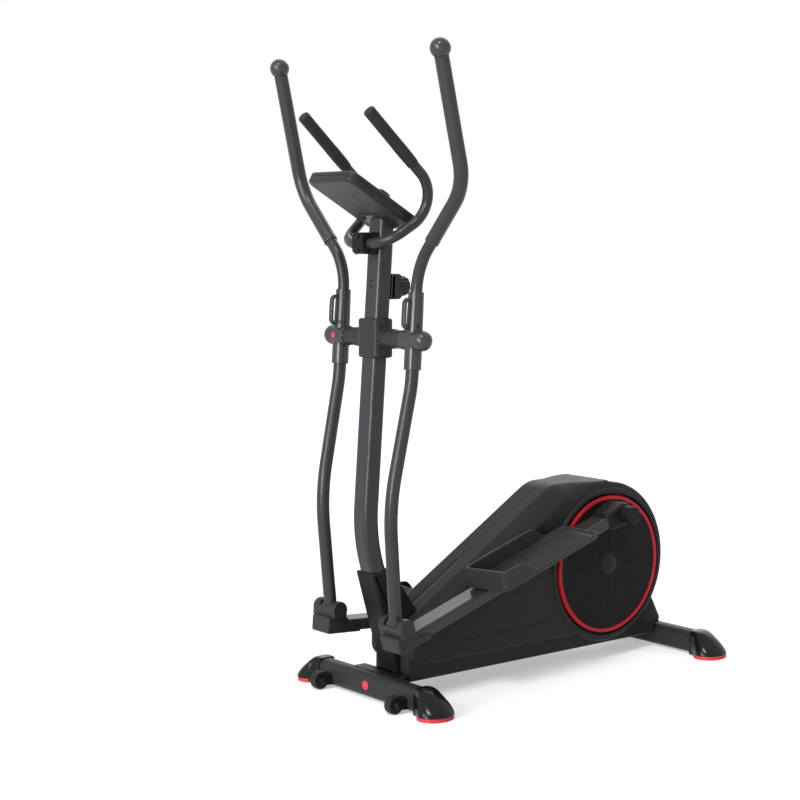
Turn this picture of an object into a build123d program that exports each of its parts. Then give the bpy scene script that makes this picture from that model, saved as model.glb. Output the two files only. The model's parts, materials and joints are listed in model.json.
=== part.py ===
"""Elliptical trainer: a bowed mast on two stabilizers, swing arms, foot rails and a belt-driven crank.

Millimetres. +Z is up, the user stands at +Y and faces -Y, and +X is the user's left.
The origin is on the floor under the middle of the whole machine.
"""

import os
from math import acos, asin, atan2, cos, degrees, hypot, pi, radians, sin, sqrt, tan

from build123d import *

# Fits and walls
running_gap = 0.05
seat_gap = 0.1
part_gap = 0.5
tube_wall = 1.8
cover_wall = 3.0

# Stabilizers, feet and transport wheels
front_foot_y = -443.0
rear_foot_y = 521.0
stabilizer_half_length = 212.0
stabilizer_depth = 46.0
stabilizer_height = 60.0
stabilizer_corner = 17.0
stabilizer_clearance = 4.0
foot_pad_x = 239.0
foot_pad_width = 80.0
foot_pad_depth = 95.0
foot_pad_height = 10.0
foot_cap_inner_x = 188.0
foot_cap_outer_x = 280.0
foot_cap_depth = 100.0
foot_cap_top_depth = 54.0
foot_cap_height = 68.0
foot_cap_shoulder = 20.0
foot_cap_brow_x = 250.0
foot_cap_brow_z = 49.0
foot_cap_toe = 4.0
foot_cap_skirt = 13.0
foot_cap_wall = 4.0
foot_cap_round = 6.0
wheel_x = 149.0
wheel_radius = 22.5
wheel_width = 22.0
wheel_lift = 1.0
wheel_reach = 30.0
fork_plate = 3.0
fork_radius = 12.0
bolt_radius = 4.0
bolt_head_radius = 7.5
bolt_head_height = 5.0
bolt_length = 26.0

# Main frame under the covers
saddle_thickness = 6.0
saddle_half_width = 82.0
rear_saddle_half_width = 56.0
saddle_bolt_x = 58.0
rear_saddle_bolt_x = 42.0
saddle_front_overlap = 24.0
beam_width = 50.0
beam_height = 50.0
beam_front_y = -378.0
beam_wall = 3.0
post_length = 170.0
post_wall = 3.0

# Mast
mast_width = 56.0
mast_depth = 44.0
mast_corner = 13.0
mast_wall = 2.5
mast_top_y = -410.5
mast_top_rise = 315.0
mast_knee_y = -467.5
mast_knee_z = 406.0
mast_foot_y = -387.0
mast_foot_z = 131.0
mast_knee_radius = 400.0

# Boot round the mast foot
boot_half_width = 36.0
boot_top_z = 316.0
boot_bottom_z = 72.0
boot_front_margin = 6.0
boot_back_y = -332.0
boot_wing_z = 214.0
boot_round = 7.0

# Side covers
cover_half_width = 88.0
cover_front_y = -384.0
cover_step_z = 84.0
cover_bottom_z = 40.0
plinth_half_width = 66.0
cover_kink_y = 110.0
cover_kink_z = 483.0
cover_kink_radius = 90.0
cover_incline = 31.5
cover_top_end_y = 285.0
cover_top_end_z = 485.0
cover_shoulder = 38.0
drum_radius = 214.0
drum_lift = 5.0
drum_round = 9.0
cover_leg_y = 512.0
rim_radius = 203.0
rim_opening_radius = 190.0
rim_face_x = 93.0

# Crank
hub_y = 280.4
hub_z = 261.0
crank_radius = 144.0
crank_angle = 94.1
axle_radius = 10.0
axle_half_length = 79.0
shell_radius = 29.0
shell_half_length = 46.0
bearing_radius = 23.5
bearing_width = 14.0
shell_post_depth = 44.0
crank_arm_inner_x = 62.0
crank_arm_outer_x = 79.5
crank_arm_hub_radius = 26.0
crank_boss_radius = 23.0
crank_boss_face_x = 98.4
disc_inner_x = 80.0
disc_rim_x = 86.0
disc_face_x = 93.0
disc_radius = 183.0
disc_face_radius = 173.0
disc_grooves = 8
disc_groove_width = 3.0
disc_groove_depth = 1.0
disc_groove_start = 38.0
disc_groove_end = 160.0
ring_face_x = 95.0
hub_cap_radius = 29.0
hub_cap_height = 5.0

# Belt drive, flywheel and brake
pulley_radius = 125.0
pulley_inner_x = 48.0
pulley_outer_x = 60.0
pulley_hub_radius = 30.0
pulley_web = 5.0
belt_inner_x = 50.0
belt_outer_x = 58.0
belt_thickness = 3.0
belt_gap = 0.3
flywheel_y = -10.0
flywheel_z = 247.0
flywheel_radius = 115.0
flywheel_rim = 26.0
flywheel_inner_x = -20.0
flywheel_outer_x = 4.0
flywheel_web = 8.0
flywheel_hub_radius = 18.0
flywheel_hub_inner_x = -27.0
flywheel_hub_outer_x = 61.0
flywheel_pulley_radius = 16.0
flywheel_axle_radius = 8.0
fork_left_x = 63.0
fork_right_x = -34.0
fork_thickness = 5.0
fork_depth = 52.0
fork_overhang = 14.0
brake_start = 150.0
brake_end = 212.0
brake_inner_radius = 96.0
brake_gap = 6.0
brake_bridge = 6.0
brake_cheek = 8.0
brake_cheek_gap = 3.0
brake_pivot_radius = 5.0
brake_boss_radius = 10.0
brake_lug_thickness = 6.0

# Swing arms
arm_pivot_y = -429.5
arm_foot_z = 205.0
arm_length = 680.0
arm_x = 142.0
arm_foot_x = 129.7
pivot_axle_radius = 9.0
pivot_axle_half_length = 166.0
lower_arm_radius = 16.0
lower_arm_top = -30.0
lower_arm_bend_y = -105.0
lower_arm_bend_radius = 380.0
lower_arm_knee_x = 135.5
lower_arm_knee_forward = 42.0
lower_arm_knee_y = -394.0
lower_arm_knee_radius = 520.0
arm_eye_radius = 18.0
arm_eye_half_width = 16.7
upper_arm_radius = 14.3
upper_arm_bottom = 30.0
flare_y = 173.0
flare_radius = 150.0
bend_x = 313.0
bend_forward = 17.0
bend_y = 356.0
bend_radius = 130.0
handle_top_x = 311.0
handle_top_forward = 106.0
handle_top_y = 654.0
grip_radius = 17.0
grip_start_x = 195.0
handle_ball_radius = 24.0
pivot_ball_radius = 25.0
pivot_ball_x = 172.0
arm_hub_bottom = -70.0
arm_hub_top = 114.0
arm_hub_radius = 21.0
arm_hub_top_radius = 18.5
arm_boss_radius = 25.0
arm_boss_inner_x = 109.0
arm_boss_outer_x = 163.5
fin_height = 76.0
fin_reach = 24.0
fin_thickness = 14.0
fin_slot_width = 9.0
fin_centre = 62.0
fin_frame = 7.0

# Cover of the arm pivot on the mast
pivot_cover_half_width = 39.0
pivot_cover_margin = 8.0
pivot_cover_height = 95.0
pivot_cover_round = 17.0
pivot_cover_edge = 6.5
pivot_stub_radius = 24.0
pivot_stub_end_x = 74.0
pivot_collar_radius = 22.5
pivot_collar_end_x = 108.0

# Foot rails
rail_x = 130.0
rail_width = 60.0
rail_height = 30.0
rail_corner = 6.0
rail_wall = 2.0
rail_link_length = 770.0
pivot_rise = 41.0
rail_front = 14.0
rail_end_gap = 14.0
rail_bush_radius = 19.0
rail_pin_radius = 8.0
crank_pin_radius = 10.0
crank_pin_inner_x = 99.6
crank_pin_outer_x = 178.0
clevis_half_width = 35.0
clevis_ear = 17.6
clevis_front = -45.0
clevis_back = 72.0
clevis_bottom = -24.0
clevis_top = 21.5
clevis_ear_radius = 23.0
end_cover_front = 66.0
end_cover_inner_x = 101.0
end_cover_outer_x = 164.0
end_cover_height = 50.0
end_cover_radius = 30.0
end_cover_corner = 13.0
end_cover_round = 11.0
end_boss_seat = 3.0
end_boss_radius = 23.0
end_boss_end_x = 186.0
end_cap_end_x = 196.0
end_groove_width = 3.0
end_groove_depth = 1.5

# Pedals
pedal_front = 255.0
pedal_length = 345.0
pedal_inner_x = 100.5
pedal_outer_x = 240.0
pedal_lift = 6.0
pedal_deck = 10.0
pedal_wall = 6.0
pedal_wall_height = 44.0
pedal_corner = 26.0
pedal_inner_wall_run = 225.0
pedal_outer_wall_run = 62.0
pedal_wall_slope = 42.0
pedal_pad_margin = 12.0
pedal_bolt_count = 3
pedal_bolt_pitch = 85.0
pedal_rib_pitch = 12.0
pedal_rib_width = 5.0
pedal_rib_height = 1.5

# Fixed handlebar
bar_radius = 12.7
bar_y = -466.0
bar_rise = 227.0
bar_straight_x = 85.0
bar_bend_x = 131.0
bar_bend_y = -327.5
bar_bend_rise = 98.0
bar_end_x = 128.0
bar_end_y = -549.5
bar_end_rise = 301.0
bar_corner_radius = 66.0
bar_bend_radius = 79.0
bar_grip_radius = 14.5
bar_grip_length = 178.0
bar_grip_end_wall = 4.0
clamp_half_width = 21.0
clamp_height = 52.0
clamp_front_wall = 10.0
clamp_round = 6.0
clamp_bolt_drop = 19.0

# Console
console_width = 178.0
console_length = 231.0
console_corner = 24.0
console_y = -470.5
console_rise = 329.0
console_tilt = 29.6
console_back_depth = 16.0
console_front_depth = 12.0
console_wall = 2.5
console_hump_width = 158.0
console_hump_length = 40.0
console_hump_height = 12.0
console_hump_along = 2.0
console_hump_corner = 15.0
console_hump_taper = 30.0
screen_width = 104.0
screen_length = 62.0
screen_along = -60.0
screen_thickness = 2.0
button_names = ("mode", "set", "reset")
button_pitch = 44.0
button_width = 30.0
button_length = 14.0
button_along = 54.0
button_gap = 0.4
button_stand = 3.0
button_travel = 2.0
bracket_half_width = 46.0
bracket_length = 62.0
bracket_thickness = 4.0
bracket_screw_x = 36.0

# Resistance control on the back of the mast
tension_rise = 123.0
tension_half_width = 27.0
tension_height = 62.0
tension_depth = 34.0
tension_round = 6.0
knob_radius = 25.0
knob_length = 26.0
knob_lobes = 10
knob_lobe_radius = 4.0
knob_stem_radius = 7.0
knob_stem_length = 12.0
knob_gap = 1.0

# Screws of the side covers
cover_screw_radius = 2.2
cover_screw_head = 4.2
cover_screw_depth = 9.0
cover_screw_head_height = 1.5
cover_screws_yz = ((-352.0, 150.0), (-330.0, 102.0), (60.0, 110.0), (165.0, 437.0))

# Worked-out places
arm_pivot_z = arm_foot_z + arm_length
mast_top_z = arm_pivot_z + mast_top_rise
tension_z = arm_pivot_z + tension_rise
bar_z = arm_pivot_z + bar_rise
bar_bend_z = bar_z + bar_bend_rise
bar_end_z = bar_z + bar_end_rise
console_z = arm_pivot_z + console_rise
stabilizer_z = stabilizer_clearance + stabilizer_height / 2
stabilizer_top_z = stabilizer_clearance + stabilizer_height
beam_bottom_z = stabilizer_top_z + saddle_thickness
beam_top_z = beam_bottom_z + beam_height
foot_pad_inner_x = stabilizer_half_length + foot_cap_wall
foot_cap_bottom_z = stabilizer_clearance - tube_wall
foot_cap_shoulder_x = foot_cap_inner_x + foot_cap_shoulder
foot_cap_toe_z = foot_pad_height + foot_cap_toe
foot_cap_skirt_z = foot_pad_height + foot_cap_skirt
front_tube_face_y = front_foot_y - stabilizer_depth / 2
wheel_y = front_tube_face_y - wheel_reach
wheel_z = wheel_radius + wheel_lift
rail_run = sqrt(rail_link_length**2 - pivot_rise**2)
pedal_mid_x = (pedal_inner_x + pedal_outer_x) / 2
pedal_width = pedal_outer_x - pedal_inner_x
pedal_bottom = rail_height / 2 + pedal_lift
disc_axis = Axis((0, hub_y, hub_z), (1, 0, 0))
sides = (("left", 1), ("right", -1))


def save(piece, node):
    """Label a finished piece and write it under its node's name."""
    piece.part.label = node
    export_step(piece.part, f"parts/{node}.step")


def x_plane(y, z, x=0.0):
    """Plane facing +X whose own axes are Y and Z, with its origin at (x, y, z)."""
    return Plane(origin=(x, y, z), x_dir=(0, 1, 0), z_dir=(1, 0, 0))


def span(plane, side, near, far):
    """Plane and length that reach sideways from near to far on one side of the machine."""
    return plane.offset(side * near), side * (far - near)


def crank_pin(side):
    """Place of one crank pin in Y and Z; the right pin is half a turn from the left one."""
    angle = radians(crank_angle if side > 0 else crank_angle + 180)
    return hub_y + crank_radius * cos(angle), hub_z + crank_radius * sin(angle)


def lower_pivot(side):
    """Front crossing of the arm's circle about its pivot with the rail's circle about its crank pin."""
    pin_y, pin_z = crank_pin(side)
    reach_y = pin_y - arm_pivot_y
    reach_z = pin_z - arm_pivot_z
    reach = hypot(reach_y, reach_z)
    along = (arm_length**2 - rail_link_length**2 + reach**2) / (2 * reach)
    across = sqrt(arm_length**2 - along**2)
    mid_y = arm_pivot_y + along * reach_y / reach
    mid_z = arm_pivot_z + along * reach_z / reach
    first = (mid_y + across * reach_z / reach, mid_z - across * reach_y / reach)
    second = (mid_y - across * reach_z / reach, mid_z + across * reach_y / reach)
    return min(first, second)


def rail_plane(side):
    """Side plane of one rail: its own x runs back along the tube and its own y is the tube's up."""
    pivot_y, pivot_z = lower_pivot(side)
    pin_y, pin_z = crank_pin(side)
    slope = atan2(pin_z - pivot_z, pin_y - pivot_y) + asin(pivot_rise / rail_link_length)
    start_y = pivot_y + pivot_rise * sin(slope)
    start_z = pivot_z - pivot_rise * cos(slope)
    return Plane(origin=(0, start_y, start_z), x_dir=(0, cos(slope), sin(slope)), z_dir=(1, 0, 0))


def arm_plane(side):
    """Side plane of one swing arm: its origin is the arm pivot and its own y points up the arm."""
    pivot_y, pivot_z = lower_pivot(side)
    swing = atan2(pivot_y - arm_pivot_y, arm_pivot_z - pivot_z)
    return Plane(
        origin=(0, arm_pivot_y, arm_pivot_z), x_dir=(0, cos(swing), sin(swing)), z_dir=(1, 0, 0)
    )


def on_arm(side, x, forward, up):
    """Point of an arm given sideways, towards the front and up the arm from its pivot."""
    return arm_plane(side).from_local_coords(Vector(-forward, up, side * x))


def tube(path, radius, inner_radius):
    """Round tube swept along a finished line."""
    start = Plane(origin=path.line @ 0, z_dir=path.line % 0)
    with BuildPart(mode=Mode.PRIVATE) as piece:
        with BuildSketch(start):
            Circle(radius)
            Circle(inner_radius, mode=Mode.SUBTRACT)
        sweep(path=path.line)
    return piece.part


def bolt(plane, head_radius, head_height, shank_radius, length):
    """Round-headed bolt whose head seats on the plane and whose shank runs against its normal."""
    with BuildPart(mode=Mode.PRIVATE) as piece:
        with BuildSketch(plane):
            Circle(head_radius)
        extrude(amount=head_height)
        with BuildSketch(plane):
            Circle(shank_radius)
        extrude(amount=-length)
    return piece.part


os.makedirs("parts", exist_ok=True)

# Stabilizer tubes, with the wheel forks welded to the front one
for end, foot_y, bolt_x in (
    ("front", front_foot_y, saddle_bolt_x),
    ("rear", rear_foot_y, rear_saddle_bolt_x),
):
    with BuildPart() as stabilizer:
        with BuildSketch(x_plane(foot_y, stabilizer_z, -stabilizer_half_length)):
            RectangleRounded(stabilizer_depth, stabilizer_height, stabilizer_corner)
            RectangleRounded(
                stabilizer_depth - 2 * tube_wall,
                stabilizer_height - 2 * tube_wall,
                stabilizer_corner - tube_wall,
                mode=Mode.SUBTRACT,
            )
        extrude(amount=2 * stabilizer_half_length)
        with Locations((bolt_x, foot_y, stabilizer_top_z), (-bolt_x, foot_y, stabilizer_top_z)):
            Hole(bolt_radius + seat_gap, depth=stabilizer_height / 2)
        if end == "front":
            fork_inner = wheel_width / 2 + part_gap
            for wheel_side in (1, -1):
                for fork_side in (1, -1):
                    fork_near = wheel_side * wheel_x + fork_side * fork_inner
                    with BuildSketch(x_plane(wheel_y, wheel_z, fork_near)):
                        Circle(fork_radius)
                        with Locations(((wheel_reach + tube_wall / 2) / 2, 0)):
                            Rectangle(wheel_reach + tube_wall / 2, 2 * fork_radius)
                        Circle(bolt_radius + seat_gap, mode=Mode.SUBTRACT)
                    extrude(amount=fork_side * fork_plate)
    save(stabilizer, f"{end}_stabilizer")

# Foot caps: a domed shoe that slopes down and out over each tube end
with BuildPart() as foot_caps:
    for foot_y in (front_foot_y, rear_foot_y):
        for _, side in sides:
            with BuildPart(mode=Mode.PRIVATE) as cap:
                with BuildSketch(Plane.XZ.offset(-foot_y - foot_cap_depth / 2)):
                    with BuildLine():
                        brow = ThreePointArc(
                            (foot_cap_shoulder_x, foot_cap_height),
                            (foot_cap_brow_x, foot_cap_brow_z),
                            (foot_cap_outer_x, foot_cap_toe_z),
                        )
                        Polyline(
                            brow @ 1,
                            (foot_cap_outer_x, foot_pad_height),
                            (foot_pad_inner_x - seat_gap, foot_pad_height),
                            (foot_pad_inner_x - seat_gap, foot_cap_bottom_z),
                            (foot_cap_inner_x, foot_cap_bottom_z),
                            (foot_cap_inner_x, foot_cap_height),
                            brow @ 0,
                        )
                    make_face()
                extrude(amount=foot_cap_depth)
                with BuildSketch(x_plane(foot_y, 0, foot_cap_inner_x)):
                    Polygon(
                        (-foot_cap_depth / 2, 0),
                        (foot_cap_depth / 2, 0),
                        (foot_cap_depth / 2, foot_cap_skirt_z),
                        (foot_cap_top_depth / 2, foot_cap_height),
                        (-foot_cap_top_depth / 2, foot_cap_height),
                        (-foot_cap_depth / 2, foot_cap_skirt_z),
                        align=None,
                    )
                extrude(amount=foot_cap_outer_x - foot_cap_inner_x, mode=Mode.INTERSECT)
                fillet(
                    cap.edges().filter_by(lambda edge: edge.center().Z > foot_cap_skirt_z)
                    .filter_by(lambda edge: edge.center().X > foot_cap_inner_x + 1),
                    foot_cap_round,
                )
                with BuildSketch(Plane.XY):
                    with Locations((foot_pad_x, foot_y)):
                        Ellipse(foot_cap_outer_x - foot_pad_x, foot_cap_depth / 2)
                    Polygon(
                        (foot_cap_inner_x, foot_y - foot_cap_top_depth / 2),
                        (foot_pad_x, foot_y - foot_cap_depth / 2),
                        (foot_pad_x, foot_y + foot_cap_depth / 2),
                        (foot_cap_inner_x, foot_y + foot_cap_top_depth / 2),
                        align=None,
                    )
                extrude(amount=foot_cap_height, mode=Mode.INTERSECT)
                with BuildSketch(x_plane(foot_y, stabilizer_z, foot_cap_inner_x)):
                    RectangleRounded(
                        stabilizer_depth + 2 * seat_gap,
                        stabilizer_height + 2 * seat_gap,
                        stabilizer_corner + seat_gap,
                    )
                extrude(
                    amount=stabilizer_half_length + seat_gap - foot_cap_inner_x, mode=Mode.SUBTRACT
                )
            add(cap.part if side > 0 else mirror(cap.part, about=Plane.YZ, mode=Mode.PRIVATE))
save(foot_caps, "foot_caps")

# Soles: an oval pad under each shoe, cut off short of the tube
with BuildPart() as foot_pads:
    with BuildSketch(Plane.XY):
        for foot_y in (front_foot_y, rear_foot_y):
            with Locations((foot_pad_x, foot_y), (-foot_pad_x, foot_y)):
                Ellipse(foot_pad_width / 2, foot_pad_depth / 2)
            with Locations((0, foot_y)):
                Rectangle(2 * foot_pad_inner_x, foot_pad_depth, mode=Mode.SUBTRACT)
    extrude(amount=foot_pad_height)
save(foot_pads, "foot_pads")

# Transport wheels, free to turn on their bolts
for name, side in sides:
    with BuildPart() as wheel:
        with BuildSketch(x_plane(wheel_y, wheel_z, side * wheel_x - wheel_width / 2)):
            Circle(wheel_radius)
            Circle(bolt_radius + running_gap, mode=Mode.SUBTRACT)
        extrude(amount=wheel_width)
        chamfer(wheel.edges().group_by(SortBy.LENGTH)[-1], bolt_radius / 2)
    save(wheel, f"{name}_transport_wheel")

# Mast: flat-sided tube with one knee, cut off square to the console's back
console_plane = Plane(
    origin=(0, console_y, console_z),
    x_dir=(1, 0, 0),
    z_dir=(0, sin(radians(console_tilt)), cos(radians(console_tilt))),
)
mast_line_tilt = atan2(mast_top_y - mast_knee_y, mast_top_z - mast_knee_z)
foot_line_tilt = atan2(mast_foot_y - mast_knee_y, mast_knee_z - mast_foot_z)
mast_foot_plane = Plane(
    origin=(0, mast_foot_y, mast_foot_z),
    x_dir=(1, 0, 0),
    z_dir=(0, -sin(foot_line_tilt), cos(foot_line_tilt)),
)
console_underside = console_plane.offset(-console_back_depth)


def mast_y(z):
    """Middle of the straight upper mast at a height."""
    return mast_knee_y + (z - mast_knee_z) * tan(mast_line_tilt)


with BuildPart() as mast:
    with BuildLine() as mast_path:
        FilletPolyline(
            (0, mast_foot_y, mast_foot_z),
            (0, mast_knee_y, mast_knee_z),
            (0, mast_top_y, mast_top_z),
            radius=mast_knee_radius,
        )
    with BuildSketch(mast_foot_plane):
        RectangleRounded(mast_width, mast_depth, mast_corner)
        RectangleRounded(
            mast_width - 2 * mast_wall,
            mast_depth - 2 * mast_wall,
            mast_corner - mast_wall,
            mode=Mode.SUBTRACT,
        )
    sweep(path=mast_path.line)
    with BuildSketch(console_underside.offset(-bracket_thickness)):
        Rectangle(2 * console_length, 2 * console_length)
    extrude(amount=console_length, mode=Mode.SUBTRACT)
    bracket_along = (mast_top_y - console_y) / cos(radians(console_tilt))
    with BuildSketch(console_underside.offset(-bracket_thickness)):
        with Locations((0, bracket_along)):
            RectangleRounded(2 * bracket_half_width, bracket_length, mast_corner)
    extrude(amount=bracket_thickness)
    with BuildSketch(x_plane(arm_pivot_y, arm_pivot_z, -mast_width)):
        Circle(pivot_axle_radius + running_gap)
    extrude(amount=2 * mast_width, mode=Mode.SUBTRACT)
save(mast, "mast")

# Welded main frame: saddles, beam, mast post, crank shell and flywheel fork
brake_pivot_angle = radians(brake_end)
brake_middle_radius = flywheel_radius + brake_gap + brake_bridge / 2
brake_pivot_y = flywheel_y + brake_middle_radius * cos(brake_pivot_angle)
brake_pivot_z = flywheel_z + brake_middle_radius * sin(brake_pivot_angle)
brake_right_x = flywheel_inner_x - brake_cheek_gap - brake_cheek
brake_left_x = flywheel_outer_x + brake_cheek_gap + brake_cheek
rear_saddle_front = rear_foot_y - stabilizer_depth / 2 - saddle_front_overlap
beam_rear_y = rear_foot_y - stabilizer_depth / 2
with BuildPart() as main_frame:
    with BuildSketch(Plane.XY.offset(stabilizer_top_z)):
        saddle_front = front_foot_y - saddle_front_overlap
        saddle_run = beam_front_y + beam_width - saddle_front
        with Locations((0, saddle_front + saddle_run / 2)):
            RectangleRounded(2 * saddle_half_width, saddle_run, mast_corner)
        with Locations((0, rear_foot_y - saddle_front_overlap / 2)):
            RectangleRounded(
                2 * rear_saddle_half_width, stabilizer_depth + saddle_front_overlap, mast_corner
            )
    extrude(amount=saddle_thickness)
    for foot_y, bolt_x in ((front_foot_y, saddle_bolt_x), (rear_foot_y, rear_saddle_bolt_x)):
        with Locations((bolt_x, foot_y, beam_bottom_z), (-bolt_x, foot_y, beam_bottom_z)):
            Hole(bolt_radius + seat_gap, depth=saddle_thickness)
    with BuildSketch(Plane.XZ.offset(-beam_front_y)):
        with Locations((0, beam_bottom_z + beam_height / 2)):
            Rectangle(beam_width, beam_height)
            Rectangle(beam_width - 2 * beam_wall, beam_height - 2 * beam_wall, mode=Mode.SUBTRACT)
    extrude(amount=-(beam_rear_y - beam_front_y))
    with BuildSketch(mast_foot_plane):
        post_width = mast_width - 2 * mast_wall - 2 * seat_gap
        post_depth = mast_depth - 2 * mast_wall - 2 * seat_gap
        RectangleRounded(post_width, post_depth, mast_corner - mast_wall)
        RectangleRounded(
            post_width - 2 * post_wall,
            post_depth - 2 * post_wall,
            mast_corner - mast_wall - post_wall,
            mode=Mode.SUBTRACT,
        )
    extrude(amount=post_length)
    with BuildSketch(mast_foot_plane):
        RectangleRounded(mast_width, mast_depth, mast_corner)
    extrude(amount=-(mast_foot_z - beam_top_z + mast_depth / 2))
    with BuildSketch(x_plane(hub_y, hub_z, -beam_width / 2)):
        with Locations((0, (beam_top_z - hub_z) / 2)):
            Rectangle(shell_post_depth, hub_z - beam_top_z + beam_wall)
    extrude(amount=beam_width)
    with BuildSketch(x_plane(hub_y, hub_z, -shell_half_length)):
        Circle(shell_radius)
    extrude(amount=2 * shell_half_length)
    with BuildSketch(x_plane(hub_y, hub_z, -shell_half_length)):
        Circle(axle_radius + part_gap)
    extrude(amount=2 * shell_half_length, mode=Mode.SUBTRACT)
    for _, side in sides:
        seat, reach = span(x_plane(hub_y, hub_z), side, shell_half_length - bearing_width, shell_half_length)
        with BuildSketch(seat):
            Circle(bearing_radius + running_gap)
        extrude(amount=reach, mode=Mode.SUBTRACT)
    with BuildSketch(Plane.XY.offset(beam_top_z)):
        with Locations(((fork_left_x + fork_right_x) / 2, flywheel_y)):
            Rectangle(fork_left_x - fork_right_x + 2 * fork_thickness, fork_depth)
    extrude(amount=fork_thickness)
    for fork_x, thickness in ((fork_left_x, fork_thickness), (fork_right_x, -fork_thickness)):
        with BuildSketch(x_plane(flywheel_y, flywheel_z, fork_x)):
            Circle(fork_depth / 2)
            with Locations((0, (beam_top_z - flywheel_z) / 2)):
                Rectangle(fork_depth, flywheel_z - beam_top_z)
            Circle(flywheel_axle_radius + running_gap, mode=Mode.SUBTRACT)
        extrude(amount=thickness)
    lug_rise = brake_pivot_z - beam_top_z
    with BuildSketch(x_plane(brake_pivot_y, brake_pivot_z, brake_left_x + part_gap)):
        Circle(brake_boss_radius)
        with Locations((0, -lug_rise / 2)):
            Rectangle(2 * brake_boss_radius, lug_rise + beam_wall)
    extrude(amount=brake_lug_thickness)
    with BuildSketch(x_plane(brake_pivot_y, brake_pivot_z, brake_right_x)):
        Circle(brake_pivot_radius)
    extrude(amount=brake_left_x + part_gap + brake_lug_thickness - brake_right_x)
save(main_frame, "main_frame")

# Crank bearings
with BuildPart() as bearings:
    for _, side in sides:
        seat, reach = span(x_plane(hub_y, hub_z), side, shell_half_length - bearing_width, shell_half_length)
        with BuildSketch(seat):
            Circle(bearing_radius)
            Circle(axle_radius + running_gap, mode=Mode.SUBTRACT)
        extrude(amount=reach)
save(bearings, "crank_bearings")

# Boot: hollow shroud over the mast foot
boot_front_top_y = mast_knee_y + (mast_knee_z - boot_top_z) * tan(foot_line_tilt) - mast_depth / 2
boot_front_foot_y = boot_front_top_y + (boot_top_z - boot_bottom_z) * tan(foot_line_tilt)
boot_outline = (
    (boot_front_top_y - boot_front_margin, boot_top_z),
    (boot_front_foot_y - boot_front_margin, boot_bottom_z),
    (boot_back_y, boot_bottom_z),
    (boot_back_y, boot_wing_z),
    (boot_front_top_y + mast_depth + 2 * boot_front_margin, boot_top_z),
)
with BuildPart() as boot:
    with BuildSketch(Plane.YZ.offset(-boot_half_width)):
        Polygon(*boot_outline, align=None)
    extrude(amount=2 * boot_half_width)
    fillet(boot.edges().filter_by(GeomType.LINE).filter_by(Axis.X, reverse=True), boot_round)
    with BuildSketch(Plane.YZ.offset(cover_wall - boot_half_width)):
        Polygon(*boot_outline, align=None)
        offset(amount=-cover_wall, kind=Kind.INTERSECTION)
        with Locations((boot_back_y - mast_depth, boot_bottom_z)):
            Rectangle(2 * (mast_depth - cover_wall), 4 * cover_wall)
    extrude(amount=2 * (boot_half_width - cover_wall), mode=Mode.SUBTRACT)
    with BuildSketch(mast_foot_plane):
        RectangleRounded(mast_width + 2 * part_gap, mast_depth + 2 * part_gap, mast_corner + part_gap)
    extrude(amount=mast_knee_z - boot_bottom_z, mode=Mode.SUBTRACT)
    with BuildSketch(Plane.XY):
        with Locations((0, boot_back_y - mast_depth)):
            Rectangle(beam_width + 2 * part_gap, 4 * mast_depth)
    extrude(amount=beam_top_z + part_gap, mode=Mode.SUBTRACT)
save(boot, "mast_boot")


def cover_body(inset):
    """Solid of the left side cover, drawn in all round by an inset for its hollow.

    The front wedge carries the soft shoulder, the drum is round the crank disc, the plinth is the
    narrower foot, and the leg runs back over the rear stabilizer.
    """
    half_width = cover_half_width - inset
    plinth = plinth_half_width - inset
    front_top_z = cover_kink_z - (cover_kink_y - cover_front_y) * tan(radians(cover_incline))
    floor_z = cover_bottom_z - (cover_step_z - cover_bottom_z if inset else 0)
    drum_z = hub_z + drum_lift
    leg_low_z = beam_bottom_z + part_gap
    with BuildPart(mode=Mode.PRIVATE) as body:
        with BuildSketch(Plane.YZ):
            with BuildLine():
                FilletPolyline(
                    (cover_front_y, front_top_z),
                    (cover_kink_y, cover_kink_z),
                    (cover_top_end_y, cover_top_end_z),
                    radius=cover_kink_radius,
                )
                Polyline(
                    (cover_top_end_y, cover_top_end_z),
                    (hub_y + drum_radius / 2, hub_z + drum_radius / 2),
                    (hub_y + drum_radius / 2, cover_step_z),
                    (cover_front_y, cover_step_z),
                    (cover_front_y, front_top_z),
                )
            make_face()
            offset(amount=-inset, kind=Kind.INTERSECTION) if inset else None
        extrude(amount=half_width)
        top_edges = (
            body.edges()
            .filter_by(lambda edge: edge.center().X > half_width - seat_gap)
            .filter_by(lambda edge: edge.center().Z > front_top_z)
            .filter_by(lambda edge: edge.center().Y < cover_top_end_y)
        )
        fillet(top_edges, cover_shoulder - inset)
        with BuildPart(mode=Mode.PRIVATE) as drum:
            with BuildSketch(x_plane(hub_y, drum_z)):
                Circle(drum_radius - inset)
            extrude(amount=half_width)
            fillet(drum.faces().sort_by(Axis.X)[-1].edges(), drum_round - inset)
        add(drum.part)
        with BuildSketch(Plane.YZ):
            Polygon(
                (cover_front_y + inset, floor_z),
                (cover_front_y + inset, cover_step_z + 2 * cover_wall),
                (hub_y, cover_step_z + 2 * cover_wall),
                (hub_y + drum_radius / 2, hub_z - drum_radius / 2),
                (cover_leg_y - cover_shoulder - inset, hub_z - drum_radius / 2),
                (cover_leg_y - inset, leg_low_z + 4 * cover_wall),
                (cover_leg_y - inset, leg_low_z if not inset else floor_z),
                (rear_foot_y - stabilizer_depth / 2 - 2 * cover_wall - inset, leg_low_z if not inset else floor_z),
                (rear_foot_y - stabilizer_depth / 2 - 2 * cover_wall - inset, floor_z),
                align=None,
            )
        extrude(amount=plinth)
    return body.part


cover_outer = cover_body(0)
cover_hollow = cover_body(cover_wall)

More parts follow.
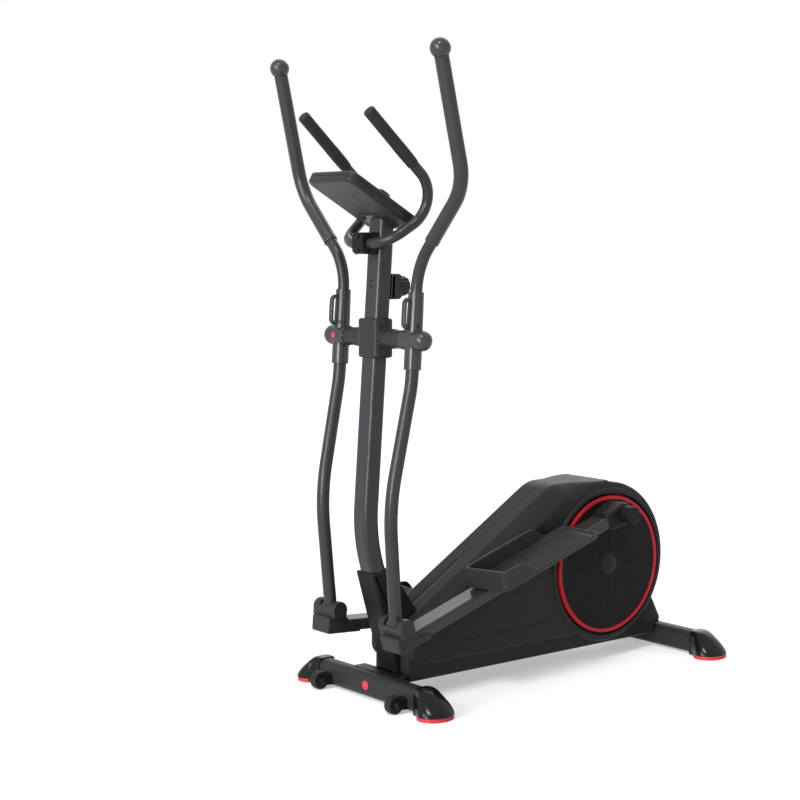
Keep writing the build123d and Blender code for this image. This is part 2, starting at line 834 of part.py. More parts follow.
# Side covers: two shells that meet on the middle plane
for name, side in sides:
    with BuildPart() as cover:
        add(cover_outer)
        with BuildSketch(x_plane(hub_y, hub_z, crank_arm_inner_x)):
            Circle(rim_radius)
        extrude(amount=rim_face_x - crank_arm_inner_x)
        add(cover_hollow, mode=Mode.SUBTRACT)
        with BuildSketch(x_plane(hub_y, hub_z)):
            Circle(rim_opening_radius)
        extrude(amount=rim_face_x, mode=Mode.SUBTRACT)
        with BuildSketch(Plane.YZ):
            with Locations((boot_back_y - mast_depth, cover_kink_z / 2)):
                Rectangle(2 * mast_depth + 2 * part_gap, cover_kink_z)
        extrude(amount=boot_half_width + part_gap, mode=Mode.SUBTRACT)
        with BuildSketch(Plane.XY.offset(stabilizer_top_z - part_gap)):
            with Locations((0, beam_front_y)):
                Rectangle(2 * (saddle_half_width + part_gap), 2 * (beam_width + part_gap))
            with Locations((0, rear_foot_y - saddle_front_overlap / 2)):
                Rectangle(
                    2 * (rear_saddle_half_width + part_gap),
                    stabilizer_depth + saddle_front_overlap + 2 * part_gap,
                )
        extrude(amount=saddle_thickness + 2 * part_gap, mode=Mode.SUBTRACT)
        with BuildSketch(Plane.XZ.offset(-beam_front_y)):
            with Locations((0, beam_bottom_z + beam_height / 2)):
                Rectangle(beam_width + 2 * part_gap, beam_height + 2 * part_gap)
        extrude(amount=-(beam_rear_y + part_gap - beam_front_y), mode=Mode.SUBTRACT)
        with BuildSketch(Plane.YZ):
            Rectangle(4 * cover_leg_y, 4 * cover_kink_z)
        extrude(amount=seat_gap / 2, both=True, mode=Mode.SUBTRACT)
        for screw_y, screw_z in cover_screws_yz:
            with BuildSketch(x_plane(screw_y, screw_z, cover_half_width)):
                Circle(cover_screw_radius + seat_gap)
            extrude(amount=-cover_screw_depth, mode=Mode.SUBTRACT)
        if side < 0:
            mirror(about=Plane.YZ, mode=Mode.REPLACE)
    save(cover, f"{name}_side_cover")

with BuildPart() as cover_screws:
    for _, side in sides:
        for screw_y, screw_z in cover_screws_yz:
            seat = Plane(origin=(side * cover_half_width, screw_y, screw_z), z_dir=(side, 0, 0))
            add(bolt(seat, cover_screw_head, cover_screw_head_height, cover_screw_radius, cover_screw_depth))
save(cover_screws, "cover_screws")

# Crank axle, arms, discs, rings and caps, which turn as one
with BuildPart() as crank_axle:
    with BuildSketch(x_plane(hub_y, hub_z, -axle_half_length)):
        Circle(axle_radius)
    extrude(amount=2 * axle_half_length)
save(crank_axle, "crank_axle")

with BuildPart() as drive_pulley:
    with BuildSketch(x_plane(hub_y, hub_z, pulley_inner_x)):
        Circle(pulley_radius)
        Circle(pulley_radius - 2 * pulley_web, mode=Mode.SUBTRACT)
        Circle(pulley_hub_radius)
        Circle(axle_radius + running_gap, mode=Mode.SUBTRACT)
    extrude(amount=pulley_outer_x - pulley_inner_x)
    with BuildSketch(x_plane(hub_y, hub_z, (pulley_inner_x + pulley_outer_x - pulley_web) / 2)):
        Circle(pulley_radius - pulley_web)
        Circle(pulley_hub_radius - pulley_web, mode=Mode.SUBTRACT)
        with PolarLocations((pulley_radius + pulley_hub_radius) / 2 - pulley_web, 6):
            Circle(pulley_hub_radius - pulley_web, mode=Mode.SUBTRACT)
    extrude(amount=pulley_web)
save(drive_pulley, "drive_pulley")

for name, side in sides:
    pin_y, pin_z = crank_pin(side)
    middle = x_plane((hub_y + pin_y) / 2, (hub_z + pin_z) / 2)
    lean = degrees(atan2(pin_z - hub_z, pin_y - hub_y))
    with BuildPart() as crank_arm:
        bar, reach = span(middle, side, crank_arm_inner_x, crank_arm_outer_x)
        with BuildSketch(bar):
            with Locations(Location((0, 0, 0), (0, 0, lean))):
                Rectangle(crank_radius, 1.6 * crank_boss_radius)
            with Locations((hub_y - (hub_y + pin_y) / 2, hub_z - (hub_z + pin_z) / 2)):
                Circle(crank_arm_hub_radius)
        extrude(amount=reach)
        boss, reach = span(x_plane(pin_y, pin_z), side, crank_arm_inner_x, crank_boss_face_x)
        with BuildSketch(boss):
            Circle(crank_boss_radius)
        extrude(amount=reach)
        bore, reach = span(x_plane(hub_y, hub_z), side, crank_arm_inner_x, crank_arm_outer_x)
        with BuildSketch(bore):
            Circle(axle_radius + running_gap)
        extrude(amount=reach, mode=Mode.SUBTRACT)
        face, reach = span(x_plane(pin_y, pin_z), side, crank_boss_face_x - 2 * crank_pin_radius, crank_boss_face_x)
        with BuildSketch(face):
            Circle(crank_pin_radius * 0.7)
        extrude(amount=reach, mode=Mode.SUBTRACT)
    save(crank_arm, f"{name}_crank_arm")

    with BuildPart() as disc:
        back, reach = span(x_plane(hub_y, hub_z), side, disc_inner_x, disc_rim_x)
        with BuildSketch(back):
            Circle(disc_radius)
        extrude(amount=reach)
        front, reach = span(x_plane(hub_y, hub_z), side, disc_rim_x, disc_face_x)
        with BuildSketch(front):
            Circle(disc_face_radius)
        extrude(amount=reach)
        groove, reach = span(x_plane(hub_y, hub_z), side, disc_face_x - disc_groove_depth, disc_face_x)
        with BuildSketch(groove):
            groove_length = disc_groove_end - disc_groove_start
            with PolarLocations(disc_groove_start + groove_length / 2, disc_grooves):
                Rectangle(groove_length, disc_groove_width)
        extrude(amount=reach, mode=Mode.SUBTRACT)
        passage, reach = span(x_plane(pin_y, pin_z), side, disc_inner_x, disc_face_x)
        with BuildSketch(passage):
            Circle(crank_boss_radius + seat_gap)
        extrude(amount=reach, mode=Mode.SUBTRACT)
    save(disc, f"{name}_disc")

with BuildPart() as rim_rings:
    for _, side in sides:
        seat, reach = span(x_plane(hub_y, hub_z), side, disc_rim_x, ring_face_x)
        with BuildSketch(seat):
            Circle(disc_radius)
            Circle(disc_face_radius + running_gap, mode=Mode.SUBTRACT)
        extrude(amount=reach)
save(rim_rings, "rim_rings")

with BuildPart() as hub_caps:
    for _, side in sides:
        cap_radius = (hub_cap_radius**2 + hub_cap_height**2) / (2 * hub_cap_height)
        with BuildSketch(Plane.XY.offset(hub_z)):
            with BuildLine():
                base_x = side * disc_face_x
                tip_x = side * (disc_face_x + hub_cap_height)
                Line((base_x, hub_y), (tip_x, hub_y))
                RadiusArc((tip_x, hub_y), (base_x, hub_y + hub_cap_radius), side * -cap_radius)
                Line((base_x, hub_y + hub_cap_radius), (base_x, hub_y))
            make_face()
        revolve(axis=disc_axis)
save(hub_caps, "hub_caps")

# Flywheel with its own small pulley, on a fixed axle
flywheel_axis = Axis((0, flywheel_y, flywheel_z), (1, 0, 0))
flywheel_middle_x = (flywheel_inner_x + flywheel_outer_x) / 2
with BuildPart() as flywheel:
    with BuildSketch(x_plane(flywheel_y, flywheel_z, flywheel_inner_x)):
        Circle(flywheel_radius)
        Circle(flywheel_radius - flywheel_rim, mode=Mode.SUBTRACT)
    extrude(amount=flywheel_outer_x - flywheel_inner_x)
    with BuildSketch(x_plane(flywheel_y, flywheel_z, flywheel_middle_x - flywheel_web / 2)):
        Circle(flywheel_radius - flywheel_rim / 2)
    extrude(amount=flywheel_web)
    with BuildSketch(x_plane(flywheel_y, flywheel_z, flywheel_hub_inner_x)):
        Circle(flywheel_hub_radius)
    extrude(amount=belt_inner_x - running_gap - flywheel_hub_inner_x)
    with BuildSketch(x_plane(flywheel_y, flywheel_z, belt_inner_x - running_gap)):
        Circle(flywheel_pulley_radius)
    extrude(amount=belt_outer_x + 2 * running_gap - belt_inner_x)
    with BuildSketch(x_plane(flywheel_y, flywheel_z, belt_outer_x + running_gap)):
        Circle(flywheel_hub_radius)
    extrude(amount=flywheel_hub_outer_x - belt_outer_x - running_gap)
    with BuildSketch(x_plane(flywheel_y, flywheel_z, flywheel_hub_inner_x)):
        Circle(flywheel_axle_radius + running_gap)
    extrude(amount=flywheel_hub_outer_x - flywheel_hub_inner_x, mode=Mode.SUBTRACT)
save(flywheel, "flywheel")

with BuildPart() as flywheel_axle:
    axle_start = fork_right_x - fork_thickness - fork_overhang
    with BuildSketch(x_plane(flywheel_y, flywheel_z, axle_start)):
        Circle(flywheel_axle_radius)
    extrude(amount=fork_left_x + fork_thickness + fork_overhang - axle_start)
save(flywheel_axle, "flywheel_axle")

with BuildPart() as drive_belt:
    belt_plane = x_plane(hub_y, hub_z, belt_inner_x)
    small_centre = (flywheel_y - hub_y, flywheel_z - hub_z)
    with BuildSketch(belt_plane):
        Circle(pulley_radius + belt_gap + belt_thickness)
        with Locations(small_centre):
            Circle(flywheel_pulley_radius + belt_gap + belt_thickness)
        make_hull()
        with BuildSketch(mode=Mode.SUBTRACT):
            Circle(pulley_radius + belt_gap)
            with Locations(small_centre):
                Circle(flywheel_pulley_radius + belt_gap)
            make_hull()
    extrude(amount=belt_outer_x - belt_inner_x)
save(drive_belt, "drive_belt")

# Magnet brake: a yoke that straddles the flywheel's rim and swings away on its pivot
with BuildPart() as magnet_brake:
    brake_outer_radius = flywheel_radius + brake_gap + brake_bridge
    sector = radians(brake_end - brake_start)
    with BuildSketch(x_plane(flywheel_y, flywheel_z, brake_right_x)):
        with BuildLine():
            CenterArc((0, 0), brake_outer_radius, brake_start, brake_end - brake_start)
            CenterArc((0, 0), brake_inner_radius, brake_start, brake_end - brake_start)
            for angle in (radians(brake_start), radians(brake_end)):
                Line(
                    (brake_inner_radius * cos(angle), brake_inner_radius * sin(angle)),
                    (brake_outer_radius * cos(angle), brake_outer_radius * sin(angle)),
                )
        make_face()
        with Locations((brake_pivot_y - flywheel_y, brake_pivot_z - flywheel_z)):
            Circle(brake_boss_radius)
    extrude(amount=brake_left_x - brake_right_x)
    with BuildSketch(x_plane(flywheel_y, flywheel_z, brake_right_x + brake_cheek)):
        Circle(flywheel_radius + brake_gap)
    extrude(amount=brake_left_x - brake_right_x - 2 * brake_cheek, mode=Mode.SUBTRACT)
    with BuildSketch(x_plane(brake_pivot_y, brake_pivot_z, brake_right_x)):
        Circle(brake_pivot_radius + running_gap)
    extrude(amount=brake_left_x - brake_right_x, mode=Mode.SUBTRACT)
save(magnet_brake, "magnet_brake")

# Arm pivot axle through the mast, and the two halves of its cover
with BuildPart() as pivot_axle:
    with BuildSketch(x_plane(arm_pivot_y, arm_pivot_z, -pivot_axle_half_length)):
        Circle(pivot_axle_radius)
    extrude(amount=2 * pivot_axle_half_length)
save(pivot_axle, "pivot_axle")

pivot_mast_y = mast_y(arm_pivot_z)
cover_depth = mast_depth + 2 * pivot_cover_margin
for name, facing in (("front", -1), ("rear", 1)):
    with BuildPart() as pivot_cover:
        with BuildSketch(Plane.XY.offset(arm_pivot_z - pivot_cover_height / 2)):
            with Locations((0, pivot_mast_y)):
                RectangleRounded(2 * pivot_cover_half_width, cover_depth, pivot_cover_round)
        extrude(amount=pivot_cover_height)
        rim_edges = pivot_cover.faces().filter_by(Axis.Z).edges()
        fillet(rim_edges, pivot_cover_edge)
        with BuildSketch(x_plane(arm_pivot_y, arm_pivot_z, -pivot_stub_end_x)):
            Circle(pivot_stub_radius)
        extrude(amount=2 * pivot_stub_end_x)
        for _, side in sides:
            collar, reach = span(x_plane(arm_pivot_y, arm_pivot_z), side, pivot_stub_end_x, pivot_collar_end_x)
            with BuildSketch(collar):
                Circle(pivot_collar_radius)
            extrude(amount=reach)
        with BuildSketch(x_plane(arm_pivot_y, arm_pivot_z, -pivot_collar_end_x)):
            Circle(pivot_axle_radius + running_gap)
        extrude(amount=2 * pivot_collar_end_x, mode=Mode.SUBTRACT)
        with BuildSketch(
            Plane(
                origin=(0, pivot_mast_y, arm_pivot_z),
                x_dir=(1, 0, 0),
                z_dir=(0, sin(mast_line_tilt), cos(mast_line_tilt)),
            )
        ):
            RectangleRounded(mast_width + 2 * seat_gap, mast_depth + 2 * seat_gap, mast_corner + seat_gap)
        extrude(amount=pivot_cover_height, both=True, mode=Mode.SUBTRACT)
        with BuildSketch(Plane.XZ.offset(-arm_pivot_y - facing * seat_gap / 2)):
            with Locations((0, arm_pivot_z)):
                Rectangle(4 * pivot_collar_end_x, 4 * pivot_cover_height)
        extrude(amount=facing * cover_depth, mode=Mode.SUBTRACT)
    save(pivot_cover, f"pivot_cover_{name}")

# Swing arms
for name, side in sides:
    pivot_y, pivot_z = lower_pivot(side)
    arm = arm_plane(side)

    with BuildPart() as lower_arm:
        with BuildLine() as lower_path:
            FilletPolyline(
                on_arm(side, arm_x, 0, lower_arm_top),
                on_arm(side, arm_x, 0, lower_arm_bend_y),
                on_arm(side, lower_arm_knee_x, lower_arm_knee_forward, lower_arm_knee_y),
                on_arm(side, arm_foot_x, 0, -arm_length),
                radius=[lower_arm_bend_radius, lower_arm_knee_radius],
            )
        add(tube(lower_path, lower_arm_radius, lower_arm_radius - tube_wall))
        eye_plane = x_plane(pivot_y, pivot_z, side * arm_foot_x - arm_eye_half_width)
        with BuildSketch(eye_plane):
            Circle(arm_eye_radius)
        extrude(amount=2 * arm_eye_half_width)
        with BuildSketch(eye_plane):
            Circle(rail_pin_radius + running_gap)
        extrude(amount=2 * arm_eye_half_width, mode=Mode.SUBTRACT)
    save(lower_arm, f"{name}_lower_arm")

    upper_points = (
        on_arm(side, arm_x, 0, upper_arm_bottom),
        on_arm(side, arm_x, 0, flare_y),
        on_arm(side, bend_x, bend_forward, bend_y),
        on_arm(side, handle_top_x, handle_top_forward, handle_top_y),
    )
    with BuildPart() as upper_arm:
        with BuildLine() as upper_path:
            FilletPolyline(*upper_points, radius=[flare_radius, bend_radius])
        add(tube(upper_path, upper_arm_radius, upper_arm_radius - tube_wall))
    save(upper_arm, f"{name}_upper_arm")

    grip_share = (grip_start_x - arm_x) / (bend_x - arm_x)
    grip_start = upper_points[1] + (upper_points[2] - upper_points[1]) * grip_share
    handle_axis = (upper_points[3] - upper_points[2]).normalized()
    ball_centre = upper_points[3]
    grip_end = ball_centre - handle_axis * (handle_ball_radius * 0.6)
    with BuildPart() as arm_grip:
        with BuildLine() as grip_path:
            FilletPolyline(grip_start, upper_points[2], grip_end, radius=bend_radius)
        add(tube(grip_path, grip_radius, upper_arm_radius + running_gap))
    save(arm_grip, f"{name}_arm_grip")

    with BuildPart() as arm_balls:
        with Locations(ball_centre):
            Sphere(handle_ball_radius)
        seat = Plane(origin=grip_end + handle_axis * seat_gap, z_dir=handle_axis)
        with BuildSketch(seat):
            Circle(2 * handle_ball_radius)
        extrude(amount=-2 * handle_ball_radius, mode=Mode.SUBTRACT)
        with BuildSketch(seat):
            Circle(upper_arm_radius + running_gap)
        extrude(amount=handle_ball_radius * 0.6 + seat_gap, mode=Mode.SUBTRACT)
        with BuildPart(mode=Mode.PRIVATE) as pivot_ball:
            with Locations((pivot_ball_x, arm_pivot_y, arm_pivot_z)):
                Sphere(pivot_ball_radius)
            with BuildSketch(x_plane(arm_pivot_y, arm_pivot_z)):
                Circle(2 * pivot_ball_radius)
            extrude(amount=arm_boss_outer_x + seat_gap, mode=Mode.SUBTRACT)
            with BuildSketch(x_plane(arm_pivot_y, arm_pivot_z)):
                Circle(pivot_axle_radius + running_gap)
            extrude(amount=pivot_axle_half_length + part_gap, mode=Mode.SUBTRACT)
        add(pivot_ball.part if side > 0 else mirror(pivot_ball.part, about=Plane.YZ, mode=Mode.PRIVATE))
    save(arm_balls, f"{name}_arm_balls")

    with BuildPart() as arm_hub:
        sleeve_up = (on_arm(side, arm_x, 0, arm_hub_top) - on_arm(side, arm_x, 0, arm_hub_bottom)).normalized()
        foot_plane = Plane(origin=on_arm(side, arm_x, 0, arm_hub_bottom), z_dir=sleeve_up)
        head_plane = Plane(origin=on_arm(side, arm_x, 0, arm_hub_top), z_dir=sleeve_up)
        with BuildSketch(foot_plane):
            Circle(arm_hub_radius)
        with BuildSketch(head_plane):
            Circle(arm_hub_top_radius)
        loft()
        boss, reach = span(x_plane(arm_pivot_y, arm_pivot_z), side, arm_boss_inner_x, arm_boss_outer_x)
        with BuildSketch(boss):
            Circle(arm_boss_radius)
        extrude(amount=reach)
        fin, reach = span(arm, side, arm_x - fin_thickness / 2, arm_x + fin_thickness / 2)
        with BuildSketch(fin):
            with Locations((-fin_reach / 2 - arm_hub_top_radius / 2, fin_centre)):
                SlotOverall(fin_height, fin_reach + arm_hub_top_radius / 2, rotation=90)
        extrude(amount=reach)
        with BuildSketch(fin):
            with Locations((-fin_reach - arm_hub_top_radius / 2 + fin_frame + fin_slot_width / 2, fin_centre)):
                SlotOverall(fin_height - 2 * fin_frame, fin_slot_width, rotation=90)
        extrude(amount=reach, mode=Mode.SUBTRACT)
        with BuildSketch(foot_plane):
            Circle(lower_arm_radius + running_gap)
        extrude(amount=lower_arm_top - arm_hub_bottom, mode=Mode.SUBTRACT)
        with BuildSketch(head_plane):
            Circle(upper_arm_radius + running_gap)
        extrude(amount=upper_arm_bottom - arm_hub_top, mode=Mode.SUBTRACT)
        with BuildSketch(boss):
            Circle(pivot_axle_radius + running_gap)
        extrude(amount=side * (arm_boss_outer_x - arm_boss_inner_x), mode=Mode.SUBTRACT)
    save(arm_hub, f"{name}_arm_hub")

# Foot rails with their clevis, rear cover, pins and pedal
for name, side in sides:
    rail_frame = rail_plane(side)
    rail_near = rail_x - rail_width / 2
    rail_section = Plane(
        origin=rail_frame.from_local_coords(Vector(rail_front, 0, side * rail_x)),
        x_dir=(1, 0, 0),
        z_dir=rail_frame.x_dir,
    )
    tube_length = rail_run - rail_end_gap - rail_front

    with BuildPart() as rail:
        with BuildSketch(rail_section):
            RectangleRounded(rail_width, rail_height, rail_corner)
            RectangleRounded(
                rail_width - 2 * rail_wall,
                rail_height - 2 * rail_wall,
                rail_corner - rail_wall,
                mode=Mode.SUBTRACT,
            )
        extrude(amount=tube_length)
        bush, reach = span(rail_frame, side, rail_near, rail_near + rail_width)
        with BuildSketch(bush):
            with Locations((rail_run, 0)):
                Circle(rail_bush_radius)
        extrude(amount=reach)
        with BuildSketch(bush):
            with Locations((rail_run, 0)):
                Circle(crank_pin_radius + running_gap)
        extrude(amount=reach, mode=Mode.SUBTRACT)
    save(rail, f"{name}_rail")

    with BuildPart() as clevis:
        inner_x = rail_x - clevis_half_width
        block, reach = span(rail_frame, side, inner_x, rail_x + clevis_half_width)
        with BuildSketch(block):
            with Locations(((clevis_front + clevis_back) / 2, (clevis_bottom + clevis_top) / 2)):
                RectangleRounded(clevis_back - clevis_front, clevis_top - clevis_bottom, rail_corner)
        extrude(amount=reach)
        for ear_near, ear_far in (
            (inner_x, arm_foot_x - clevis_ear),
            (arm_foot_x + clevis_ear, rail_x + clevis_half_width),
        ):
            ear, reach = span(rail_frame, side, ear_near, ear_far)
            with BuildSketch(ear):
                with Locations((0, pivot_rise)):
                    Circle(clevis_ear_radius)
                with Locations((0, pivot_rise / 2)):
                    Rectangle(2 * clevis_ear_radius, pivot_rise)
                with Locations((0, pivot_rise)):
                    Circle(rail_pin_radius + running_gap, mode=Mode.SUBTRACT)
            extrude(amount=reach)
        with BuildSketch(rail_section):
            RectangleRounded(
                rail_width + 2 * seat_gap, rail_height + 2 * seat_gap, rail_corner + seat_gap
            )
        extrude(amount=tube_length, mode=Mode.SUBTRACT)
    save(clevis, f"{name}_rail_clevis")

    with BuildPart() as end_cover:
        shell, reach = span(rail_frame, side, end_cover_inner_x, end_cover_outer_x)
        with BuildSketch(shell):
            with Locations((rail_run, 0)):
                Circle(end_cover_radius)
            with Locations((rail_run - end_cover_front + rail_corner, 0)):
                Rectangle(2 * rail_corner, end_cover_height)
            make_hull()
        extrude(amount=reach)
        fillet(end_cover.edges().filter_by(Axis.X), end_cover_corner)
        fillet(end_cover.faces().filter_by(Axis.X).edges(), end_cover_round)
        boss, reach = span(rail_frame, side, end_cover_outer_x - end_boss_seat, end_boss_end_x)
        with BuildSketch(boss):
            with Locations((rail_run, 0)):
                Circle(end_boss_radius)
        extrude(amount=reach)
        knob_end, reach = span(rail_frame, side, end_boss_end_x + end_groove_width, end_cap_end_x)
        with BuildSketch(knob_end):
            with Locations((rail_run, 0)):
                Circle(end_boss_radius)
        extrude(amount=reach)
        groove, reach = span(rail_frame, side, end_boss_end_x, end_boss_end_x + end_groove_width)
        with BuildSketch(groove):
            with Locations((rail_run, 0)):
                Circle(end_boss_radius - end_groove_depth)
        extrude(amount=reach)
        with BuildSketch(rail_section):
            RectangleRounded(
                rail_width + 2 * seat_gap, rail_height + 2 * seat_gap, rail_corner + seat_gap
            )
        extrude(amount=tube_length, mode=Mode.SUBTRACT)
        bush, reach = span(rail_frame, side, end_cover_inner_x, rail_near + rail_width + seat_gap)
        with BuildSketch(bush):
            with Locations((rail_run, 0)):
                Circle(rail_bush_radius + seat_gap)
        extrude(amount=reach, mode=Mode.SUBTRACT)
        hollow, reach = span(rail_frame, side, end_cover_inner_x, crank_pin_outer_x + seat_gap)
        with BuildSketch(hollow):
            with Locations((rail_run, 0)):
                Circle(crank_pin_radius + running_gap)
        extrude(amount=reach, mode=Mode.SUBTRACT)
    save(end_cover, f"{name}_rail_end_cover")

    pedal_plane = Plane(
        origin=rail_frame.from_local_coords(Vector(pedal_front, pedal_bottom, side * pedal_mid_x)),
        x_dir=rail_frame.x_dir,
        z_dir=rail_frame.y_dir,
    )
    with BuildPart() as pedal:
        with BuildSketch(pedal_plane):
            with Locations((pedal_length / 2, 0)):
                RectangleRounded(pedal_length, pedal_width, pedal_corner)
        extrude(amount=pedal_deck)
        for inner_x, outer_x, run in (
            (pedal_inner_x, pedal_mid_x, pedal_inner_wall_run),
            (pedal_mid_x, pedal_outer_x, pedal_outer_wall_run),
        ):
            with BuildPart(mode=Mode.PRIVATE) as wall:
                with BuildSketch(pedal_plane):
                    with Locations((pedal_length / 2, 0)):
                        RectangleRounded(pedal_length, pedal_width, pedal_corner)
                        RectangleRounded(
                            pedal_length - 2 * pedal_wall,
                            pedal_width - 2 * pedal_wall,
                            pedal_corner - pedal_wall,
                            mode=Mode.SUBTRACT,
                        )
                extrude(amount=pedal_wall_height)
                profile, reach = span(rail_frame, side, inner_x, outer_x)
                with BuildSketch(profile):
                    Polygon(
                        (pedal_front, pedal_bottom),
                        (pedal_front, pedal_bottom + pedal_wall_height),
                        (pedal_front + run, pedal_bottom + pedal_wall_height),
                        (pedal_front + run + pedal_wall_slope, pedal_bottom + pedal_deck),
                        (pedal_front + run + pedal_wall_slope, pedal_bottom),
                        align=None,
                    )
                extrude(amount=reach, mode=Mode.INTERSECT)
            add(wall.part)
        rib_count = int((pedal_width - 2 * pedal_pad_margin) / pedal_rib_pitch)
        with BuildSketch(pedal_plane.offset(pedal_deck)):
            with Locations((pedal_length / 2 + pedal_pad_margin, 0)):
                with GridLocations(0, pedal_rib_pitch, 1, rib_count):
                    Rectangle(pedal_length - 6 * pedal_pad_margin, pedal_rib_width)
        extrude(amount=pedal_rib_height)
        seat_width = rail_near + rail_width - pedal_inner_x
        seat_middle = side * (pedal_mid_x - pedal_inner_x - seat_width / 2)
        with BuildSketch(pedal_plane):
            with Locations((pedal_length / 2, seat_middle)):
                Rectangle(pedal_length - 2 * pedal_corner, seat_width - 2 * rail_corner)
        extrude(amount=-pedal_lift)
        with BuildSketch(pedal_plane.offset(pedal_deck + pedal_rib_height)):
            with Locations((pedal_length / 2, seat_middle)):
                with GridLocations(pedal_bolt_pitch, 0, pedal_bolt_count, 1):
                    Circle(bolt_head_radius + part_gap)
        extrude(amount=-bolt_head_height, mode=Mode.SUBTRACT)
        with BuildSketch(pedal_plane.offset(pedal_deck)):
            with Locations((pedal_length / 2, seat_middle)):
                with GridLocations(pedal_bolt_pitch, 0, pedal_bolt_count, 1):
                    Circle(bolt_radius + seat_gap)
        extrude(amount=-pedal_deck - pedal_lift, mode=Mode.SUBTRACT)
    save(pedal, f"{name}_pedal")

    bolt_seat = pedal_deck + pedal_rib_height - bolt_head_height
    with BuildPart() as rail_pins:
        pivot_pin, reach = span(rail_frame, side, rail_x - clevis_half_width, rail_x + clevis_half_width)
        with BuildSketch(pivot_pin):
            with Locations((0, pivot_rise)):
                Circle(rail_pin_radius)
        extrude(amount=reach)
        wrist_pin, reach = span(rail_frame, side, crank_pin_inner_x, crank_pin_outer_x)
        with BuildSketch(wrist_pin):
            with Locations((rail_run, 0)):
                Circle(crank_pin_radius)
        extrude(amount=reach)
        for step in range(pedal_bolt_count):
            along = pedal_length / 2 + (step - (pedal_bolt_count - 1) / 2) * pedal_bolt_pitch
            head = Plane(
                origin=pedal_plane.from_local_coords(Vector(along, seat_middle, bolt_seat)),
                z_dir=pedal_plane.z_dir,
            )
            add(bolt(head, bolt_head_radius, bolt_head_height, bolt_radius, bolt_seat + pedal_lift))
    save(rail_pins, f"{name}_rail_pins")

# Fixed handlebar, its grips and the clamp on the mast
bar_points = [
    (side * x, y, z)
    for side, order in ((1, 1), (-1, -1))
    for x, y, z in (
        (bar_end_x, bar_end_y, bar_end_z),
        (bar_bend_x, bar_bend_y, bar_bend_z),
        (bar_straight_x, bar_y, bar_z),
    )[::order]
]
with BuildPart() as fixed_handlebar:
    with BuildLine() as bar_path:
        FilletPolyline(
            *bar_points,
            radius=[bar_bend_radius, bar_corner_radius, bar_corner_radius, bar_bend_radius],
        )
    add(tube(bar_path, bar_radius, bar_radius - tube_wall))
save(fixed_handlebar, "fixed_handlebar")

with BuildPart() as fixed_grips:
    for _, side in sides:
        bar_tip = Vector(side * bar_end_x, bar_end_y, bar_end_z)
        bar_bend = Vector(side * bar_bend_x, bar_bend_y, bar_bend_z)
        outward = (bar_tip - bar_bend).normalized()
        grip_top = Plane(origin=bar_tip + outward * bar_grip_end_wall, z_dir=outward)
        with BuildSketch(grip_top):
            Circle(bar_grip_radius)
        extrude(amount=-bar_grip_length)
        with BuildSketch(grip_top.offset(-bar_grip_end_wall + seat_gap)):
            Circle(bar_radius + running_gap)
        extrude(amount=-bar_grip_length, mode=Mode.SUBTRACT)
save(fixed_grips, "fixed_grips")

clamp_back_y = mast_y(bar_z) - mast_depth / 2
clamp_front_y = bar_y - bar_radius - clamp_front_wall
with BuildPart() as handlebar_clamp:
    with BuildSketch(x_plane(0, 0, -clamp_half_width)):
        clamp_depth = clamp_back_y - clamp_front_y
        clamp_lean = clamp_height / 2 * tan(mast_line_tilt)
        Polygon(
            (clamp_front_y, bar_z - clamp_height / 2),
            (clamp_back_y - clamp_lean - seat_gap, bar_z - clamp_height / 2),
            (clamp_back_y + clamp_lean - seat_gap, bar_z + clamp_height / 2),
            (clamp_front_y, bar_z + clamp_height / 2),
            align=None,
        )
    extrude(amount=2 * clamp_half_width)
    fillet(handlebar_clamp.edges().filter_by(Axis.X).group_by(Axis.Y)[0], clamp_round)
    with BuildSketch(x_plane(bar_y, bar_z, -clamp_half_width)):
        Circle(bar_radius + running_gap)
    extrude(amount=2 * clamp_half_width, mode=Mode.SUBTRACT)
    for drop in (-clamp_bolt_drop, clamp_bolt_drop):
        with BuildSketch(Plane(origin=(0, clamp_front_y, bar_z + drop), z_dir=(0, -1, 0))):
            Circle(bolt_radius + seat_gap)
        extrude(amount=-clamp_depth, mode=Mode.SUBTRACT)
save(handlebar_clamp, "handlebar_clamp")

# Bolts: saddles, wheels and clamp
with BuildPart() as frame_bolts:
    for foot_y, bolt_x in ((front_foot_y, saddle_bolt_x), (rear_foot_y, rear_saddle_bolt_x)):
        for _, side in sides:
            seat = Plane(origin=(side * bolt_x, foot_y, beam_bottom_z), z_dir=(0, 0, 1))
            add(bolt(seat, bolt_head_radius, bolt_head_height, bolt_radius, bolt_length))
    fork_span = wheel_width + 2 * part_gap + 2 * fork_plate
    for _, side in sides:
        seat = Plane(
            origin=(side * (wheel_x + fork_span / 2), wheel_y, wheel_z), z_dir=(side, 0, 0)
        )
        add(bolt(seat, bolt_head_radius, bolt_head_height, bolt_radius, fork_span))
    for drop in (-clamp_bolt_drop, clamp_bolt_drop):
        seat = Plane(origin=(0, clamp_front_y, bar_z + drop), z_dir=(0, -1, 0))
        add(bolt(seat, bolt_head_radius, bolt_head_height, bolt_radius, bolt_length))
save(frame_bolts, "frame_bolts")

# Console: back shell, front shell with a hump, screen and buttons
with BuildPart() as console_back:
    with BuildSketch(console_plane):
        RectangleRounded(console_width, console_length, console_corner)
    extrude(amount=-console_back_depth)
    fillet(console_back.faces().sort_by(Axis(console_plane.origin, console_plane.z_dir))[0].edges(), console_back_depth / 3)
    with BuildSketch(console_plane):
        RectangleRounded(
            console_width - 2 * console_wall,
            console_length - 2 * console_wall,
            console_corner - console_wall,
        )
    extrude(amount=-(console_back_depth - console_wall), mode=Mode.SUBTRACT)
save(console_back, "console_back")

